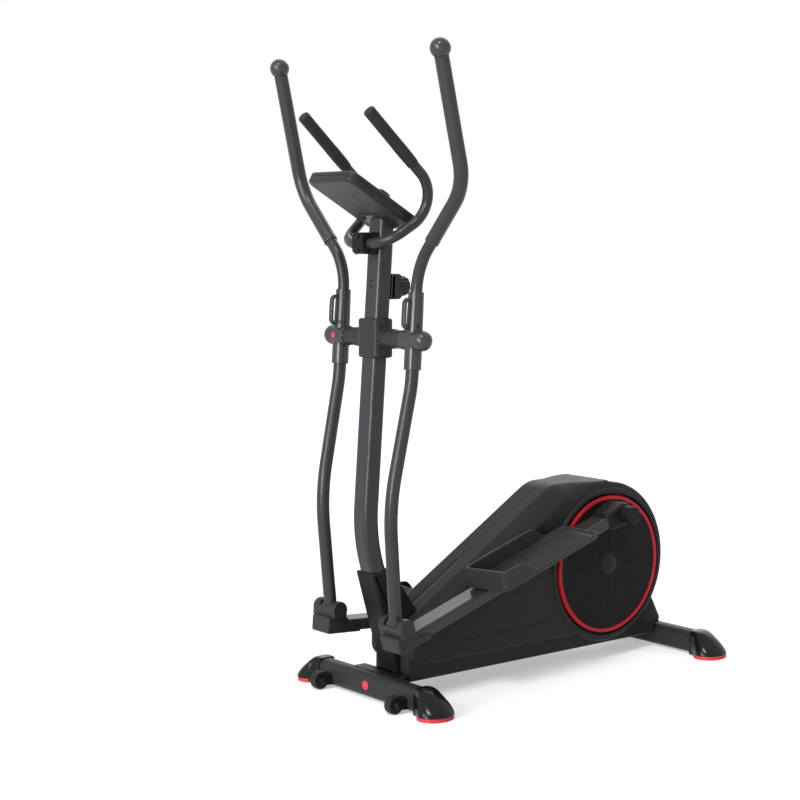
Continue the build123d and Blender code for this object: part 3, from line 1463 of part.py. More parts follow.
button_places = [(index - (len(button_names) - 1) / 2) * button_pitch for index in range(len(button_names))]
with BuildPart() as console_front:
    with BuildSketch(console_plane.offset(running_gap)):
        RectangleRounded(console_width, console_length, console_corner)
    extrude(amount=console_front_depth)
    fillet(console_front.faces().sort_by(Axis(console_plane.origin, console_plane.z_dir))[-1].edges(), console_front_depth / 3)
    with BuildSketch(console_plane.offset(console_front_depth)):
        with Locations((0, console_hump_along)):
            RectangleRounded(console_hump_width, console_hump_length, console_hump_corner)
    extrude(amount=console_hump_height, taper=console_hump_taper)
    with BuildSketch(console_plane.offset(console_front_depth - screen_thickness)):
        with Locations((0, screen_along)):
            Rectangle(screen_width + 2 * seat_gap, screen_length + 2 * seat_gap)
    extrude(amount=screen_thickness + console_front_depth, mode=Mode.SUBTRACT)
    with BuildSketch(console_plane):
        for place in button_places:
            with Locations((place, button_along)):
                RectangleRounded(
                    button_width + 2 * button_gap,
                    button_length + 2 * button_gap,
                    button_length / 3 + button_gap,
                )
    extrude(amount=console_front_depth + console_hump_height, mode=Mode.SUBTRACT)
    with BuildSketch(console_plane):
        RectangleRounded(
            console_width - 4 * console_wall,
            console_length - 4 * console_wall,
            console_corner - 2 * console_wall,
        )
    extrude(amount=console_front_depth - 2 * screen_thickness - console_wall, mode=Mode.SUBTRACT)
save(console_front, "console_front")

with BuildPart() as console_screen:
    with BuildSketch(console_plane.offset(console_front_depth - screen_thickness)):
        with Locations((0, screen_along)):
            Rectangle(screen_width, screen_length)
    extrude(amount=screen_thickness)
save(console_screen, "console_screen")

for button_name, place in zip(button_names, button_places):
    with BuildPart() as button:
        button_height = console_wall + 2 * screen_thickness + button_stand
        with BuildSketch(console_plane.offset(console_front_depth + button_stand)):
            with Locations((place, button_along)):
                RectangleRounded(button_width, button_length, button_length / 3)
        extrude(amount=-button_height)
        fillet(button.faces().sort_by(Axis(console_plane.origin, console_plane.z_dir))[-1].edges(), button_stand / 3)
    save(button, f"{button_name}_button")

# Resistance control: a box on the mast and a dial that faces the user
tension_back_y = mast_y(tension_z) + mast_depth / 2
tension_lean = tension_height / 2 * tan(mast_line_tilt)
tension_face_y = tension_back_y + tension_depth
with BuildPart() as tension_housing:
    with BuildSketch(x_plane(0, 0, -tension_half_width)):
        Polygon(
            (tension_back_y - tension_lean + seat_gap, tension_z - tension_height / 2),
            (tension_face_y, tension_z - tension_height / 2),
            (tension_face_y, tension_z + tension_height / 2),
            (tension_back_y + tension_lean + seat_gap, tension_z + tension_height / 2),
            align=None,
        )
    extrude(amount=2 * tension_half_width)
    fillet(tension_housing.faces().sort_by(Axis.Y)[-1].edges(), tension_round)
    with BuildSketch(Plane(origin=(0, tension_face_y, tension_z), z_dir=(0, 1, 0))):
        Circle(knob_stem_radius + running_gap)
    extrude(amount=-knob_stem_length - part_gap, mode=Mode.SUBTRACT)
save(tension_housing, "tension_housing")

with BuildPart() as tension_knob:
    knob_plane = Plane(origin=(0, tension_face_y + knob_gap, tension_z), z_dir=(0, 1, 0))
    with BuildSketch(knob_plane):
        Circle(knob_radius)
        with PolarLocations(knob_radius + knob_lobe_radius / 2, knob_lobes):
            Circle(knob_lobe_radius, mode=Mode.SUBTRACT)
    extrude(amount=knob_length)
    with BuildSketch(knob_plane):
        Circle(knob_stem_radius)
    extrude(amount=-knob_stem_length - knob_gap)
save(tension_knob, "tension_knob")
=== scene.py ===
"""Elliptical trainer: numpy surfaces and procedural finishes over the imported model.

Sizes are in millimetres until a mesh is made, which turns them into metres.
+Z is up, +X is the user's left, and the user stands at +Y facing -Y.
"""

import json
import logging
import math
from dataclasses import dataclass
from enum import Enum
from typing import Sequence, Union

import bmesh
import bpy
import numpy as np
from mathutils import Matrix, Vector

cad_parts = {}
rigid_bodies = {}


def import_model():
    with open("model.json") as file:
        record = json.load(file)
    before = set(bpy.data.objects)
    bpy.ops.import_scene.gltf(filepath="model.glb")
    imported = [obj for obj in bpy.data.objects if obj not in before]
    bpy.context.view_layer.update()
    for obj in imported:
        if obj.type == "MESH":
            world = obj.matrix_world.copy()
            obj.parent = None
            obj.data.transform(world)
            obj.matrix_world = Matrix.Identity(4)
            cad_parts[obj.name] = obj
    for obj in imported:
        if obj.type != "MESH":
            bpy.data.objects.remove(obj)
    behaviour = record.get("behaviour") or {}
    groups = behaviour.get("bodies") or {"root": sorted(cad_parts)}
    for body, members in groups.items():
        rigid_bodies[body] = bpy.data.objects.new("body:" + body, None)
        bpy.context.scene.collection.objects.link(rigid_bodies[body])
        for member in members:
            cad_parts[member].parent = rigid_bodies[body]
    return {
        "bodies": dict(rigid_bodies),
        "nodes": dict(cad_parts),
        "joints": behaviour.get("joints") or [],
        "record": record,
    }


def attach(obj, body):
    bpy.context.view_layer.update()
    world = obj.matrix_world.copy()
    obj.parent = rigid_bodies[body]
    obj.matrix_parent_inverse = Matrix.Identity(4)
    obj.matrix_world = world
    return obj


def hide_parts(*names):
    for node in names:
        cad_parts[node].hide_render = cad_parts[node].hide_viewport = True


logging.basicConfig(level=logging.INFO, format="%(name)s: %(message)s")
LOG = logging.getLogger("trainer")

Array = np.ndarray
Triple = tuple[float, float, float]
Pair = tuple[float, float]
Rows = Sequence[Sequence[float]]
Piece = bpy.types.Object
Tree = bpy.types.NodeTree
Socket = bpy.types.NodeSocket
Value = Union[bpy.types.NodeSocket, float, Sequence[float]]
MM = 0.001
FULL_TURN = 2.0 * math.pi
QUARTER_TURN = 0.5 * math.pi
SHARP_ANGLE = math.radians(35.0)
MERGE_DISTANCE = 1e-6
ROUND_STEPS = 6
TUBE_SIDES = 40
REVOLVE_SIDES = 72
BOLT_SIDES = 48
BALL_SIDES = 56
BALL_ROWS = 33
NEAR_POLE = 0.985
BUMP_DISTANCE = 0.0006
COAT_ROUGHNESS = 0.25


class Side(Enum):
    """Side of the machine, as the user stands on it."""

    LEFT = 1
    RIGHT = -1

    @property
    def word(self) -> str:
        """Name of the side, as the nodes spell it."""
        return self.name.lower()


@dataclass(frozen=True)
class Place:
    """Local axes set in the machine's frame.

    Args:
        origin: Local zero, in millimetres.
        x: Direction of the first local axis.
        y: Direction of the second local axis.
        z: Direction of the third local axis.
    """

    origin: Triple
    x: Triple
    y: Triple
    z: Triple

    def world(self, points: Array) -> Array:
        """Carry local points into the machine's frame: origin plus each coordinate times its axis."""
        axes = np.array([self.x, self.y, self.z], dtype=float)
        return np.asarray(points, dtype=float) @ axes + np.array(self.origin, dtype=float)

    def moved(self, x: float = 0.0, y: float = 0.0, z: float = 0.0) -> "Place":
        """The same axes with the origin shifted along them."""
        return Place(tuple(self.world(np.array([x, y, z]))), self.x, self.y, self.z)

    def about_x(self) -> "Place":
        """The same axes in turn, so that the first one becomes the third."""
        return Place(self.origin, self.y, self.z, self.x)

    def about_y(self) -> "Place":
        """The same axes in turn, so that the second one becomes the third."""
        return Place(self.origin, self.z, self.x, self.y)

    def flipped(self) -> "Place":
        """The same place upside down: turned half round its first axis."""
        return Place(self.origin, self.x, tuple(-np.array(self.y)), tuple(-np.array(self.z)))


def side_place(side: int = 1, y: float = 0.0, z: float = 0.0) -> Place:
    """Place whose axes are Y, Z and outwards to one side."""
    return Place((0.0, y, z), (0, 1, 0), (0, 0, 1), (side, 0, 0))


def front_place(x: float, y: float, z: float) -> Place:
    """Place whose axes are X, Z and forwards."""
    return Place((x, y, z), (1, 0, 0), (0, 0, 1), (0, -1, 0))


PLAN = Place((0, 0, 0), (1, 0, 0), (0, 1, 0), (0, 0, 1))


def circle(angle: Array) -> Array:
    """Points of the unit circle: the cosine and the sine of each angle."""
    return np.stack([np.cos(angle), np.sin(angle)], axis=-1)


def smoothstep(value: Array) -> Array:
    """Ease from 0 to 1: the clipped value t gives 3t squared minus 2t cubed."""
    t = np.clip(value, 0.0, 1.0)
    return t * t * (3.0 - 2.0 * t)


def grid_faces(rows: int, columns: int, wrap_rows: bool) -> Array:
    """Quads of a grid of points whose last column joins the first.

    Each quad joins a point, its neighbour in the next row, and the next column's two.

    Args:
        rows: Number of rows.
        columns: Number of columns.
        wrap_rows: Whether the last row joins the first.

    Returns:
        Index array with four columns.
    """
    last = rows if wrap_rows else rows - 1
    row, column = np.meshgrid(np.arange(last), np.arange(columns), indexing="ij")
    here, after = row * columns, (row + 1) % rows * columns
    beside = (column + 1) % columns
    corners = (here + column, after + column, after + beside, here + beside)
    return np.stack(corners, axis=-1).reshape(-1, 4)


def rounded_path(corners: Rows, radii: Sequence[float], step: float = 6.0) -> Array:
    """Line through corners whose inner corners are arcs of the given radii.

    On each corner the arc starts radius / tan(half the opening) before it. A point of the arc is the
    centre plus the first and last radius, weighted by the sines of the turn still to go and done.

    Args:
        corners: Points of the line.
        radii: One radius for each inner corner.
        step: Longest distance between two points of an arc.

    Returns:
        Array of points.
    """
    points = np.asarray(corners, dtype=float)
    pieces = [points[:1]]
    for before, corner, after, radius in zip(points[:-2], points[1:-1], points[2:], radii):
        into = (before - corner) / np.linalg.norm(before - corner)
        out = (after - corner) / np.linalg.norm(after - corner)
        half = 0.5 * math.acos(float(np.clip(into @ out, -1.0, 1.0)))
        bisector = (into + out) / np.linalg.norm(into + out)
        centre = corner + bisector * radius / math.sin(half)
        first = corner + into * radius / math.tan(half) - centre
        last = corner + out * radius / math.tan(half) - centre
        turn = math.pi - 2.0 * half
        count = max(3, int(math.ceil(radius * turn / step)) + 1)
        share = np.linspace(0, 1, count)[:, None]
        swing = np.sin((1 - share) * turn) * first + np.sin(share * turn) * last
        pieces.append(centre + swing / math.sin(turn))
    pieces.append(points[-1:])
    return np.concatenate(pieces)


def rounded_polygon(corners: Rows, radii: Sequence[float], step: float = 2.5) -> Array:
    """Closed flat outline whose corners are arcs, counter-clockwise.

    Args:
        corners: Flat corner points.
        radii: One radius for each corner.
        step: Longest distance between two points of an arc.

    Returns:
        Array of flat points, without the first one repeated.
    """
    flat = np.asarray(corners, dtype=float)
    looped = np.concatenate([flat[-1:], flat, flat[:1]])
    padded = np.concatenate([looped, np.zeros((len(looped), 1))], axis=1)
    outline = rounded_path(padded, radii, step)[1:-1, :2]
    area = np.sum(outline[:, 0] * np.roll(outline[:, 1], -1) - outline[:, 1] * np.roll(outline[:, 0], -1))
    return outline if area > 0 else outline[::-1]


def rounded_rectangle(
    width: float, height: float, radius: float, step: float = 2.5, x: float = 0.0, y: float = 0.0
) -> Array:
    """Rectangle with round corners about a flat point.

    Args:
        width: Size along the first axis.
        height: Size along the second axis.
        radius: Radius of the corners.
        step: Longest distance between two points of an arc.
        x: First coordinate of its middle.
        y: Second one.

    Returns:
        Array of flat points.
    """
    right, top = width / 2, height / 2
    corners = [(-right, -top), (right, -top), (right, top), (-right, top)]
    return rounded_polygon(corners, [radius] * 4, step) + np.array([x, y])


def squircle(half_x: Array, half_y: Array, power: float, count: int = 48) -> Array:
    """Superellipse: each half size times the signed power 2/power of the cosine or sine.

    Args:
        half_x: Half sizes along the first axis.
        half_y: Half sizes along the second axis.
        power: Two for an ellipse, more for a boxier shape.
        count: Number of columns.

    Returns:
        Array of rows, columns and two coordinates.
    """
    angle = np.linspace(0, FULL_TURN, count, endpoint=False)
    wide = np.sign(np.cos(angle)) * np.abs(np.cos(angle)) ** (2.0 / power)
    tall = np.sign(np.sin(angle)) * np.abs(np.sin(angle)) ** (2.0 / power)
    return np.stack([np.asarray(half_x)[..., None] * wide, np.asarray(half_y)[..., None] * tall], axis=-1)


def outline_normals(outline: Array) -> Array:
    """Outward normals of a counter-clockwise outline: the chord of the two neighbours, turned right.

    Args:
        outline: Closed flat outline.

    Returns:
        One normal for each point.
    """
    chord = np.roll(outline, -1, axis=0) - np.roll(outline, 1, axis=0)
    normal = np.stack([chord[:, 1], -chord[:, 0]], axis=-1)
    return normal / np.maximum(np.linalg.norm(normal, axis=1, keepdims=True), 1e-9)


def sweep_points(path: Array, section: Array, aside: Triple, closed: bool = False) -> Array:
    """Points of a section carried along a path.

    At each station the first axis is aside made square to the tangent, and the second is the
    tangent crossed with the first. A point is the station plus the section on these axes.

    Args:
        path: Stations.
        section: Flat outline, or one outline for each station.
        aside: Rough direction of the section's first axis.
        closed: Whether the path's end joins its start.

    Returns:
        Array of stations, columns and three coordinates.
    """
    if closed:
        tangent = np.roll(path, -1, axis=0) - np.roll(path, 1, axis=0)
    else:
        tangent = np.gradient(path, axis=0)
    tangent = tangent / np.linalg.norm(tangent, axis=1, keepdims=True)
    guide = np.asarray(aside, dtype=float)
    first = guide[None] - tangent * (tangent @ guide)[:, None]
    first = first / np.linalg.norm(first, axis=1, keepdims=True)
    second = np.cross(tangent, first)
    outline = np.broadcast_to(section, (len(path),) + section.shape[-2:])
    return path[:, None] + outline[..., :1] * first[:, None] + outline[..., 1:] * second[:, None]


def spline(knots: Sequence[float], values: Sequence, at: Array) -> Array:
    """Smooth curve through values at knots.

    Each piece is a cubic Hermite: it starts and ends on its two values, with the slopes of the
    chords between their neighbours.

    Args:
        knots: Rising positions.
        values: One value, or one row of values, for each knot.
        at: Where the curve is read.

    Returns:
        Array with one value or row for each position.
    """
    place = np.asarray(knots, dtype=float)
    level = np.asarray(values, dtype=float)
    slope = np.gradient(level, place, axis=0)
    index = np.clip(np.searchsorted(place, at, side="right") - 1, 0, len(place) - 2)
    span = place[index + 1] - place[index]
    t = (at - place[index]) / span
    if level.ndim > 1:
        t, span = t[:, None], span[:, None]
    start = (2 * t**3 - 3 * t**2 + 1) * level[index] + (t**3 - 2 * t**2 + t) * span * slope[index]
    end = (3 * t**2 - 2 * t**3) * level[index + 1] + (t**3 - t**2) * span * slope[index + 1]
    return start + end


def lengths(path: Array) -> Array:
    """Distance of each point from the start of a line, along it."""
    return np.concatenate([[0], np.cumsum(np.linalg.norm(np.diff(path, axis=0), axis=1))])


def read_path(path: Array, at: Array) -> Array:
    """Points of a line at given distances from its start: each coordinate read at that length."""
    return np.stack([np.interp(at, lengths(path), values) for values in path.T], axis=-1)


def spaced(outline: Array, count: int) -> Array:
    """Points at even distances along a closed outline that doesn't repeat its first point."""
    looped = np.concatenate([outline, outline[:1]])
    return read_path(looped, np.linspace(0, lengths(looped)[-1], count, endpoint=False))


def radius_at(outline: Array, centre: Sequence[float], angle: Array) -> Array:
    """Distance from a centre to an outline round it, read by angle.

    Args:
        outline: Closed outline that every ray from the centre meets once.
        centre: Flat point inside it.
        angle: Directions of the rays.

    Returns:
        One distance for each direction.
    """
    dense = spaced(outline, 4000) - np.asarray(centre, dtype=float)
    turn = np.arctan2(dense[:, 1], dense[:, 0])
    order = np.argsort(turn)
    wrapped = (np.asarray(angle) + math.pi) % FULL_TURN - math.pi
    return np.interp(wrapped, turn[order], np.linalg.norm(dense, axis=1)[order], period=FULL_TURN)


class Skin:
    """Gathers grids of points into one mesh."""

    def __init__(self, weighted: bool = True) -> None:
        """Start with no points.

        Args:
            weighted: Whether large faces rule the shading next to small ones.
        """
        self.weighted = weighted
        self.blocks: list[Array] = []
        self.faces: list[list[int]] = []
        self.count = 0

    def grid(self, points: Array, wrap_rows: bool = False, capped: bool = True) -> "Skin":
        """Add a grid whose last column joins the first.

        Args:
            points: Array of rows, columns and three coordinates.
            wrap_rows: Whether the last row joins the first.
            capped: Whether one face each closes the first and the last row.

        Returns:
            This skin.
        """
        rows, columns = points.shape[:2]
        self.faces += (grid_faces(rows, columns, wrap_rows) + self.count).tolist()
        ring = np.arange(columns) + self.count
        if capped:
            self.faces.append(ring[::-1].tolist())
            self.faces.append((ring + (rows - 1) * columns).tolist())
        self.blocks.append(points.reshape(-1, 3))
        self.count += rows * columns
        return self

    def stack(self, flat: Array, level: Sequence[float], place: Place) -> "Skin":
        """Add closed rows of flat points on the place's first two axes, each row at its own level."""
        tall = np.broadcast_to(np.asarray(level, dtype=float)[:, None, None], flat.shape[:2] + (1,))
        return self.grid(place.world(np.concatenate([flat, tall], axis=-1)))

    def prism(
        self,
        outline: Array,
        low: float,
        high: float,
        place: Place,
        edge_low: float = 0.0,
        edge_high: float = 0.0,
    ) -> "Skin":
        """Carry an outline along the place's third axis, with round edges at both ends.

        Near an end, at angle a of a quarter turn, the outline draws in along its normals by
        edge (1 - cos a) and reaches edge (1 - sin a) short of the end.

        Args:
            outline: Flat closed outline on the place's first two axes.
            low: Where it starts along the third axis.
            high: Where it ends.
            place: Local axes.
            edge_low: Radius of the starting edge.
            edge_high: Radius of the ending edge.

        Returns:
            This skin.
        """
        angle = np.linspace(0, QUARTER_TURN, ROUND_STEPS)
        low_angle = angle[::-1] if edge_low else angle[:1]
        high_angle = angle if edge_high else angle[:1]
        inset = np.concatenate([edge_low * (1 - np.cos(low_angle)), edge_high * (1 - np.cos(high_angle))])
        start, end = low + edge_low * (1 - np.sin(low_angle)), high - edge_high * (1 - np.sin(high_angle))
        flat = outline[None] - outline_normals(outline)[None] * inset[:, None, None]
        return self.stack(flat, np.concatenate([start, end]), place)

    def revolve(self, profile: Rows, place: Place, sides: int = REVOLVE_SIDES) -> "Skin":
        """Turn a profile about the place's third axis: radius times (cos, sin), and the height.

        Args:
            profile: Rows of height and radius.
            place: Local axes.
            sides: Number of columns.

        Returns:
            This skin.
        """
        rows = np.asarray(profile, dtype=float)
        ring = circle(np.linspace(0, FULL_TURN, sides, endpoint=False))
        return self.stack(rows[:, 1][:, None, None] * ring[None], rows[:, 0], place)

    def sweep(self, path: Array, section: Array, aside: Triple, closed: bool = False) -> "Skin":
        """Carry a section, or one for each station, along a path, as sweep_points does."""
        points = sweep_points(path, section, aside, closed)
        return self.grid(points, wrap_rows=closed, capped=not closed)

    def tube(self, path: Array, radius: Array, aside: Triple) -> "Skin":
        """Round tube along a path, with one radius or one for each station."""
        width = np.broadcast_to(np.asarray(radius, dtype=float), (len(path),))
        return self.sweep(path, squircle(width, width, 2.0, TUBE_SIDES), aside)

    def ball(self, centre: Sequence[float], radius: float) -> "Skin":
        """Sphere as a turned half circle."""
        angle = np.linspace(-QUARTER_TURN * NEAR_POLE, QUARTER_TURN * NEAR_POLE, BALL_ROWS)
        return self.revolve(radius * circle(angle)[:, ::-1], PLAN.moved(*centre), BALL_SIDES)

    def bolt_head(self, place: Place, radius: float, height: float) -> "Skin":
        """Button head with a hexagonal socket.

        The dome's rows are circles. The socket's rows are the hexagon's radius, its flat's distance
        over the cosine of the angle from the flat's middle.

        Args:
            place: Seat of the head, whose third axis points out of it.
            radius: Radius of the head.
            height: Height of the head.

        Returns:
            This skin.
        """
        angle = np.linspace(0, FULL_TURN, BOLT_SIDES, endpoint=False)
        sixth = FULL_TURN / 6
        hexagon = 1.0 / np.cos(angle % sixth - sixth / 2)
        dome = [(0.0, 0.97), (0.1, 1.0), (0.42, 0.99), (0.7, 0.9), (0.9, 0.74), (1.0, 0.55)]
        rows = [(level * height, share * radius * np.ones_like(angle)) for level, share in dome]
        rows += [(level * height, share * radius * hexagon) for level, share in ((0.98, 0.42), (0.45, 0.4))]
        flat = np.stack([width[:, None] * circle(angle) for _, width in rows])
        return self.stack(flat, [level for level, _ in rows], place)

    def build(self, name: str) -> Piece:
        """Make the object, in metres, with merged points, outward faces and smooth shading.

        Args:
            name: Name of the piece.

        Returns:
            The new object, linked to the scene.
        """
        mesh = bpy.data.meshes.new(name)
        mesh.from_pydata((np.concatenate(self.blocks) * MM).tolist(), [], self.faces)
        work = bmesh.new()
        work.from_mesh(mesh)
        bmesh.ops.remove_doubles(work, verts=work.verts, dist=MERGE_DISTANCE)
        bmesh.ops.recalc_face_normals(work, faces=work.faces)
        work.to_mesh(mesh)
        work.free()
        mesh.shade_smooth()
        mesh.set_sharp_from_angle(angle=SHARP_ANGLE)
        piece = bpy.data.objects.new(name, mesh)
        bpy.context.scene.collection.objects.link(piece)
        if self.weighted:
            shading = piece.modifiers.new("shading", "WEIGHTED_NORMAL")
            shading.keep_sharp = True
        return piece


def node_group(name: str, scale: float, *outputs: str) -> tuple[Tree, bpy.types.Node, bpy.types.Node]:
    """Empty shader node group that takes a vector and a scale and gives values.

    Args:
        name: Name of the group.
        scale: Default of the scale.
        outputs: Names of the values.

    Returns:
        The group, its input node and its output node.
    """
    group = bpy.data.node_groups.new(name, "ShaderNodeTree")
    group.interface.new_socket(name="Vector", in_out="INPUT", socket_type="NodeSocketVector")
    size = group.interface.new_socket(name="Scale", in_out="INPUT", socket_type="NodeSocketFloat")
    size.default_value = scale
    for label in outputs:
        group.interface.new_socket(name=label, in_out="OUTPUT", socket_type="NodeSocketFloat")
    return group, group.nodes.new("NodeGroupInput"), group.nodes.new("NodeGroupOutput")


def feed(tree: Tree, socket: Socket, value: Value) -> None:
    """Link another node's socket to a socket, or set a number on it.

    Args:
        tree: Node tree of the sockets.
        socket: Socket that is fed.
        value: Other socket, or a number.
    """
    if isinstance(value, bpy.types.NodeSocket):
        tree.links.new(value, socket)
    else:
        socket.default_value = value


def add_math(tree: Tree, operation: str, first: Value, second: Value) -> Socket:
    """Math node between two sockets or numbers.

    Args:
        tree: Node tree that gets the node.
        operation: Name of the operation.
        first: Socket or number.
        second: Socket or number.

    Returns:
        The result's socket.
    """
    node = tree.nodes.new("ShaderNodeMath")
    node.operation = operation
    feed(tree, node.inputs[0], first)
    feed(tree, node.inputs[1], second)
    return node.outputs[0]


def add_noise(tree: Tree, vector: Socket, scale: Value, detail: float, roughness: float = 0.55) -> Socket:
    """Noise texture on a vector.

    Args:
        tree: Node tree that gets the node.
        vector: Vector socket.
        scale: Socket or number.
        detail: Octaves.
        roughness: Share of each finer octave.

    Returns:
        The noise value's socket.
    """
    node = tree.nodes.new("ShaderNodeTexNoise")
    settings = {"Vector": vector, "Scale": scale, "Detail": detail, "Roughness": roughness}
    for label, value in settings.items():
        feed(tree, node.inputs[label], value)
    return node.outputs[0]


def add_cells(tree: Tree, vector: Socket, scale: Value, feature: str = "F1") -> bpy.types.Node:
    """Cell texture on a vector.

    Args:
        tree: Node tree that gets the node.
        vector: Vector socket.
        scale: Socket or number.
        feature: Which distance the cells give.

    Returns:
        The new node.
    """
    node = tree.nodes.new("ShaderNodeTexVoronoi")
    node.feature = feature
    feed(tree, node.inputs["Vector"], vector)
    feed(tree, node.inputs["Scale"], scale)
    return node


class Effects:
    """Node groups that several finishes share, each built once."""

    def __init__(self) -> None:
        """Build every group."""
        self.grain = self._grain()
        self.smudge = self._smudge()
        self.flake = self._flake()
        self.cells = self._cells()

    @staticmethod
    def _grain() -> Tree:
        """Moulded grain: fine noise over rounder pits, as a height and a tone.

        Returns:
            The group.
        """
        group, source, sink = node_group("moulded_grain", 900.0, "Height", "Tone")
        vector, scale = source.outputs["Vector"], source.outputs["Scale"]
        fine = add_noise(group, vector, scale, 3.0)
        pits = add_cells(group, vector, add_math(group, "MULTIPLY", scale, 0.8)).outputs["Distance"]
        soft, deep = add_math(group, "MULTIPLY", fine, 0.6), add_math(group, "MULTIPLY", pits, 0.5)
        feed(group, sink.inputs["Height"], add_math(group, "ADD", soft, deep))
        feed(group, sink.inputs["Tone"], fine)
        return group

    @staticmethod
    def _smudge() -> Tree:
        """Handling marks: broad noise with finer streaks, as a mask from 0 to 1.

        Returns:
            The group.
        """
        group, source, sink = node_group("handling_smudge", 9.0, "Mask")
        vector, scale = source.outputs["Vector"], source.outputs["Scale"]
        broad = add_math(group, "MULTIPLY", add_noise(group, vector, scale, 4.0, 0.6), 0.75)
        streak = add_noise(group, vector, add_math(group, "MULTIPLY", scale, 6.5), 2.0)
        blended = add_math(group, "ADD", broad, add_math(group, "MULTIPLY", streak, 0.25))
        spread = group.nodes.new("ShaderNodeMapRange")
        for label, value in (("Value", blended), ("From Min", 0.33), ("From Max", 0.67)):
            feed(group, spread.inputs[label], value)
        feed(group, sink.inputs["Mask"], spread.outputs["Result"])
        return group

    @staticmethod
    def _flake() -> Tree:
        """Metal flake in paint: the random shade of tiny cells.

        Returns:
            The group.
        """
        group, source, sink = node_group("metal_flake", 1500.0, "Shade")
        cells = add_cells(group, source.outputs["Vector"], source.outputs["Scale"])
        feed(group, sink.inputs["Shade"], cells.outputs["Color"])
        return group

    @staticmethod
    def _cells() -> Tree:
        """Foam cells: smooth pits with finer noise, as a height.

        Returns:
            The group.
        """
        group, source, sink = node_group("foam_cells", 700.0, "Height")
        vector, scale = source.outputs["Vector"], source.outputs["Scale"]
        coarse = add_cells(group, vector, scale, "SMOOTH_F1").outputs["Distance"]
        fine = add_noise(group, vector, add_math(group, "MULTIPLY", scale, 2.2), 2.0)
        height = add_math(group, "ADD", coarse, add_math(group, "MULTIPLY", fine, 0.4))
        feed(group, sink.inputs["Height"], height)
        return group


class Texture(Enum):
    """Which shared effect gives a finish its small relief."""

    GRAIN = "grain"
    FOAM = "cells"
    FLAKE = "flake"


@dataclass(frozen=True)
class Finish:
    """Procedural finish of a piece.

    Args:
        name: Name of the material.
        slot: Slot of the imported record.
        colour: Linear base colour.
        shade: Second colour, where the surface is rubbed or smudged.
        roughness: Roughness of the clean surface.
        rubbed: Roughness where it is smudged.
        metallic: Metallic value.
        texture: Effect that gives the relief.
        scale: Scale of the relief, per metre.
        depth: Strength of the relief's bump.
        mottle: How far the relief's tone changes the colour.
        coat: Weight of a clear coat.
        specular: Specular level.
    """

    name: str
    slot: str
    colour: Triple
    shade: Triple
    roughness: float
    rubbed: float
    metallic: float = 0.0
    texture: Texture = Texture.GRAIN
    scale: float = 900.0
    depth: float = 0.12
    mottle: float = 0.18
    coat: float = 0.0
    specular: float = 0.5

    def material(self, effects: Effects) -> bpy.types.Material:
        """The finish's material, wired the first time that it is asked for.

        Smudges mix its two colours and roughnesses, the relief's tone lifts the colour, and its
        height feeds a bump.

        Args:
            effects: Shared node groups.

        Returns:
            The material.
        """
        if self.name in bpy.data.materials:
            return bpy.data.materials[self.name]
        material = bpy.data.materials.new(self.name)
        material.use_nodes = True
        tree = material.node_tree
        shader = tree.nodes["Principled BSDF"].inputs
        where = tree.nodes.new("ShaderNodeTexCoord").outputs["Object"]

        smudge = tree.nodes.new("ShaderNodeGroup")
        smudge.node_tree = effects.smudge
        feed(tree, smudge.inputs["Vector"], where)
        mask = smudge.outputs["Mask"]
        relief = tree.nodes.new("ShaderNodeGroup")
        relief.node_tree = getattr(effects, self.texture.value)
        feed(tree, relief.inputs["Vector"], where)
        feed(tree, relief.inputs["Scale"], self.scale)
        height, tone = relief.outputs[0], relief.outputs[-1]

        colour = tree.nodes.new("ShaderNodeMix")
        colour.data_type = "RGBA"
        for label, value in (("A", (*self.colour, 1.0)), ("B", (*self.shade, 1.0)), ("Factor", mask)):
            feed(tree, colour.inputs[label], value)
        lift = add_math(tree, "ADD", add_math(tree, "MULTIPLY", tone, 2.0 * self.mottle), 1.0 - self.mottle)
        toned = tree.nodes.new("ShaderNodeVectorMath")
        toned.operation = "SCALE"
        feed(tree, toned.inputs[0], colour.outputs["Result"])
        feed(tree, toned.inputs["Scale"], lift)
        feed(tree, shader["Base Color"], toned.outputs[0])

        gloss = tree.nodes.new("ShaderNodeMapRange")
        for label, value in (("Value", mask), ("To Min", self.roughness), ("To Max", self.rubbed)):
            feed(tree, gloss.inputs[label], value)
        feed(tree, shader["Roughness"], gloss.outputs["Result"])

        bump = tree.nodes.new("ShaderNodeBump")
        for label, value in (("Height", height), ("Strength", self.depth), ("Distance", BUMP_DISTANCE)):
            feed(tree, bump.inputs[label], value)
        feed(tree, shader["Normal"], bump.outputs["Normal"])

        shader["Metallic"].default_value = self.metallic
        shader["Coat Weight"].default_value = self.coat
        shader["Coat Roughness"].default_value = COAT_ROUGHNESS
        shader["Specular IOR Level"].default_value = self.specular
        return material


def grey(value: float, blue: float = 1.06) -> Triple:
    """Linear grey whose blue is stronger by a factor."""
    return value, value, round(value * blue, 4)


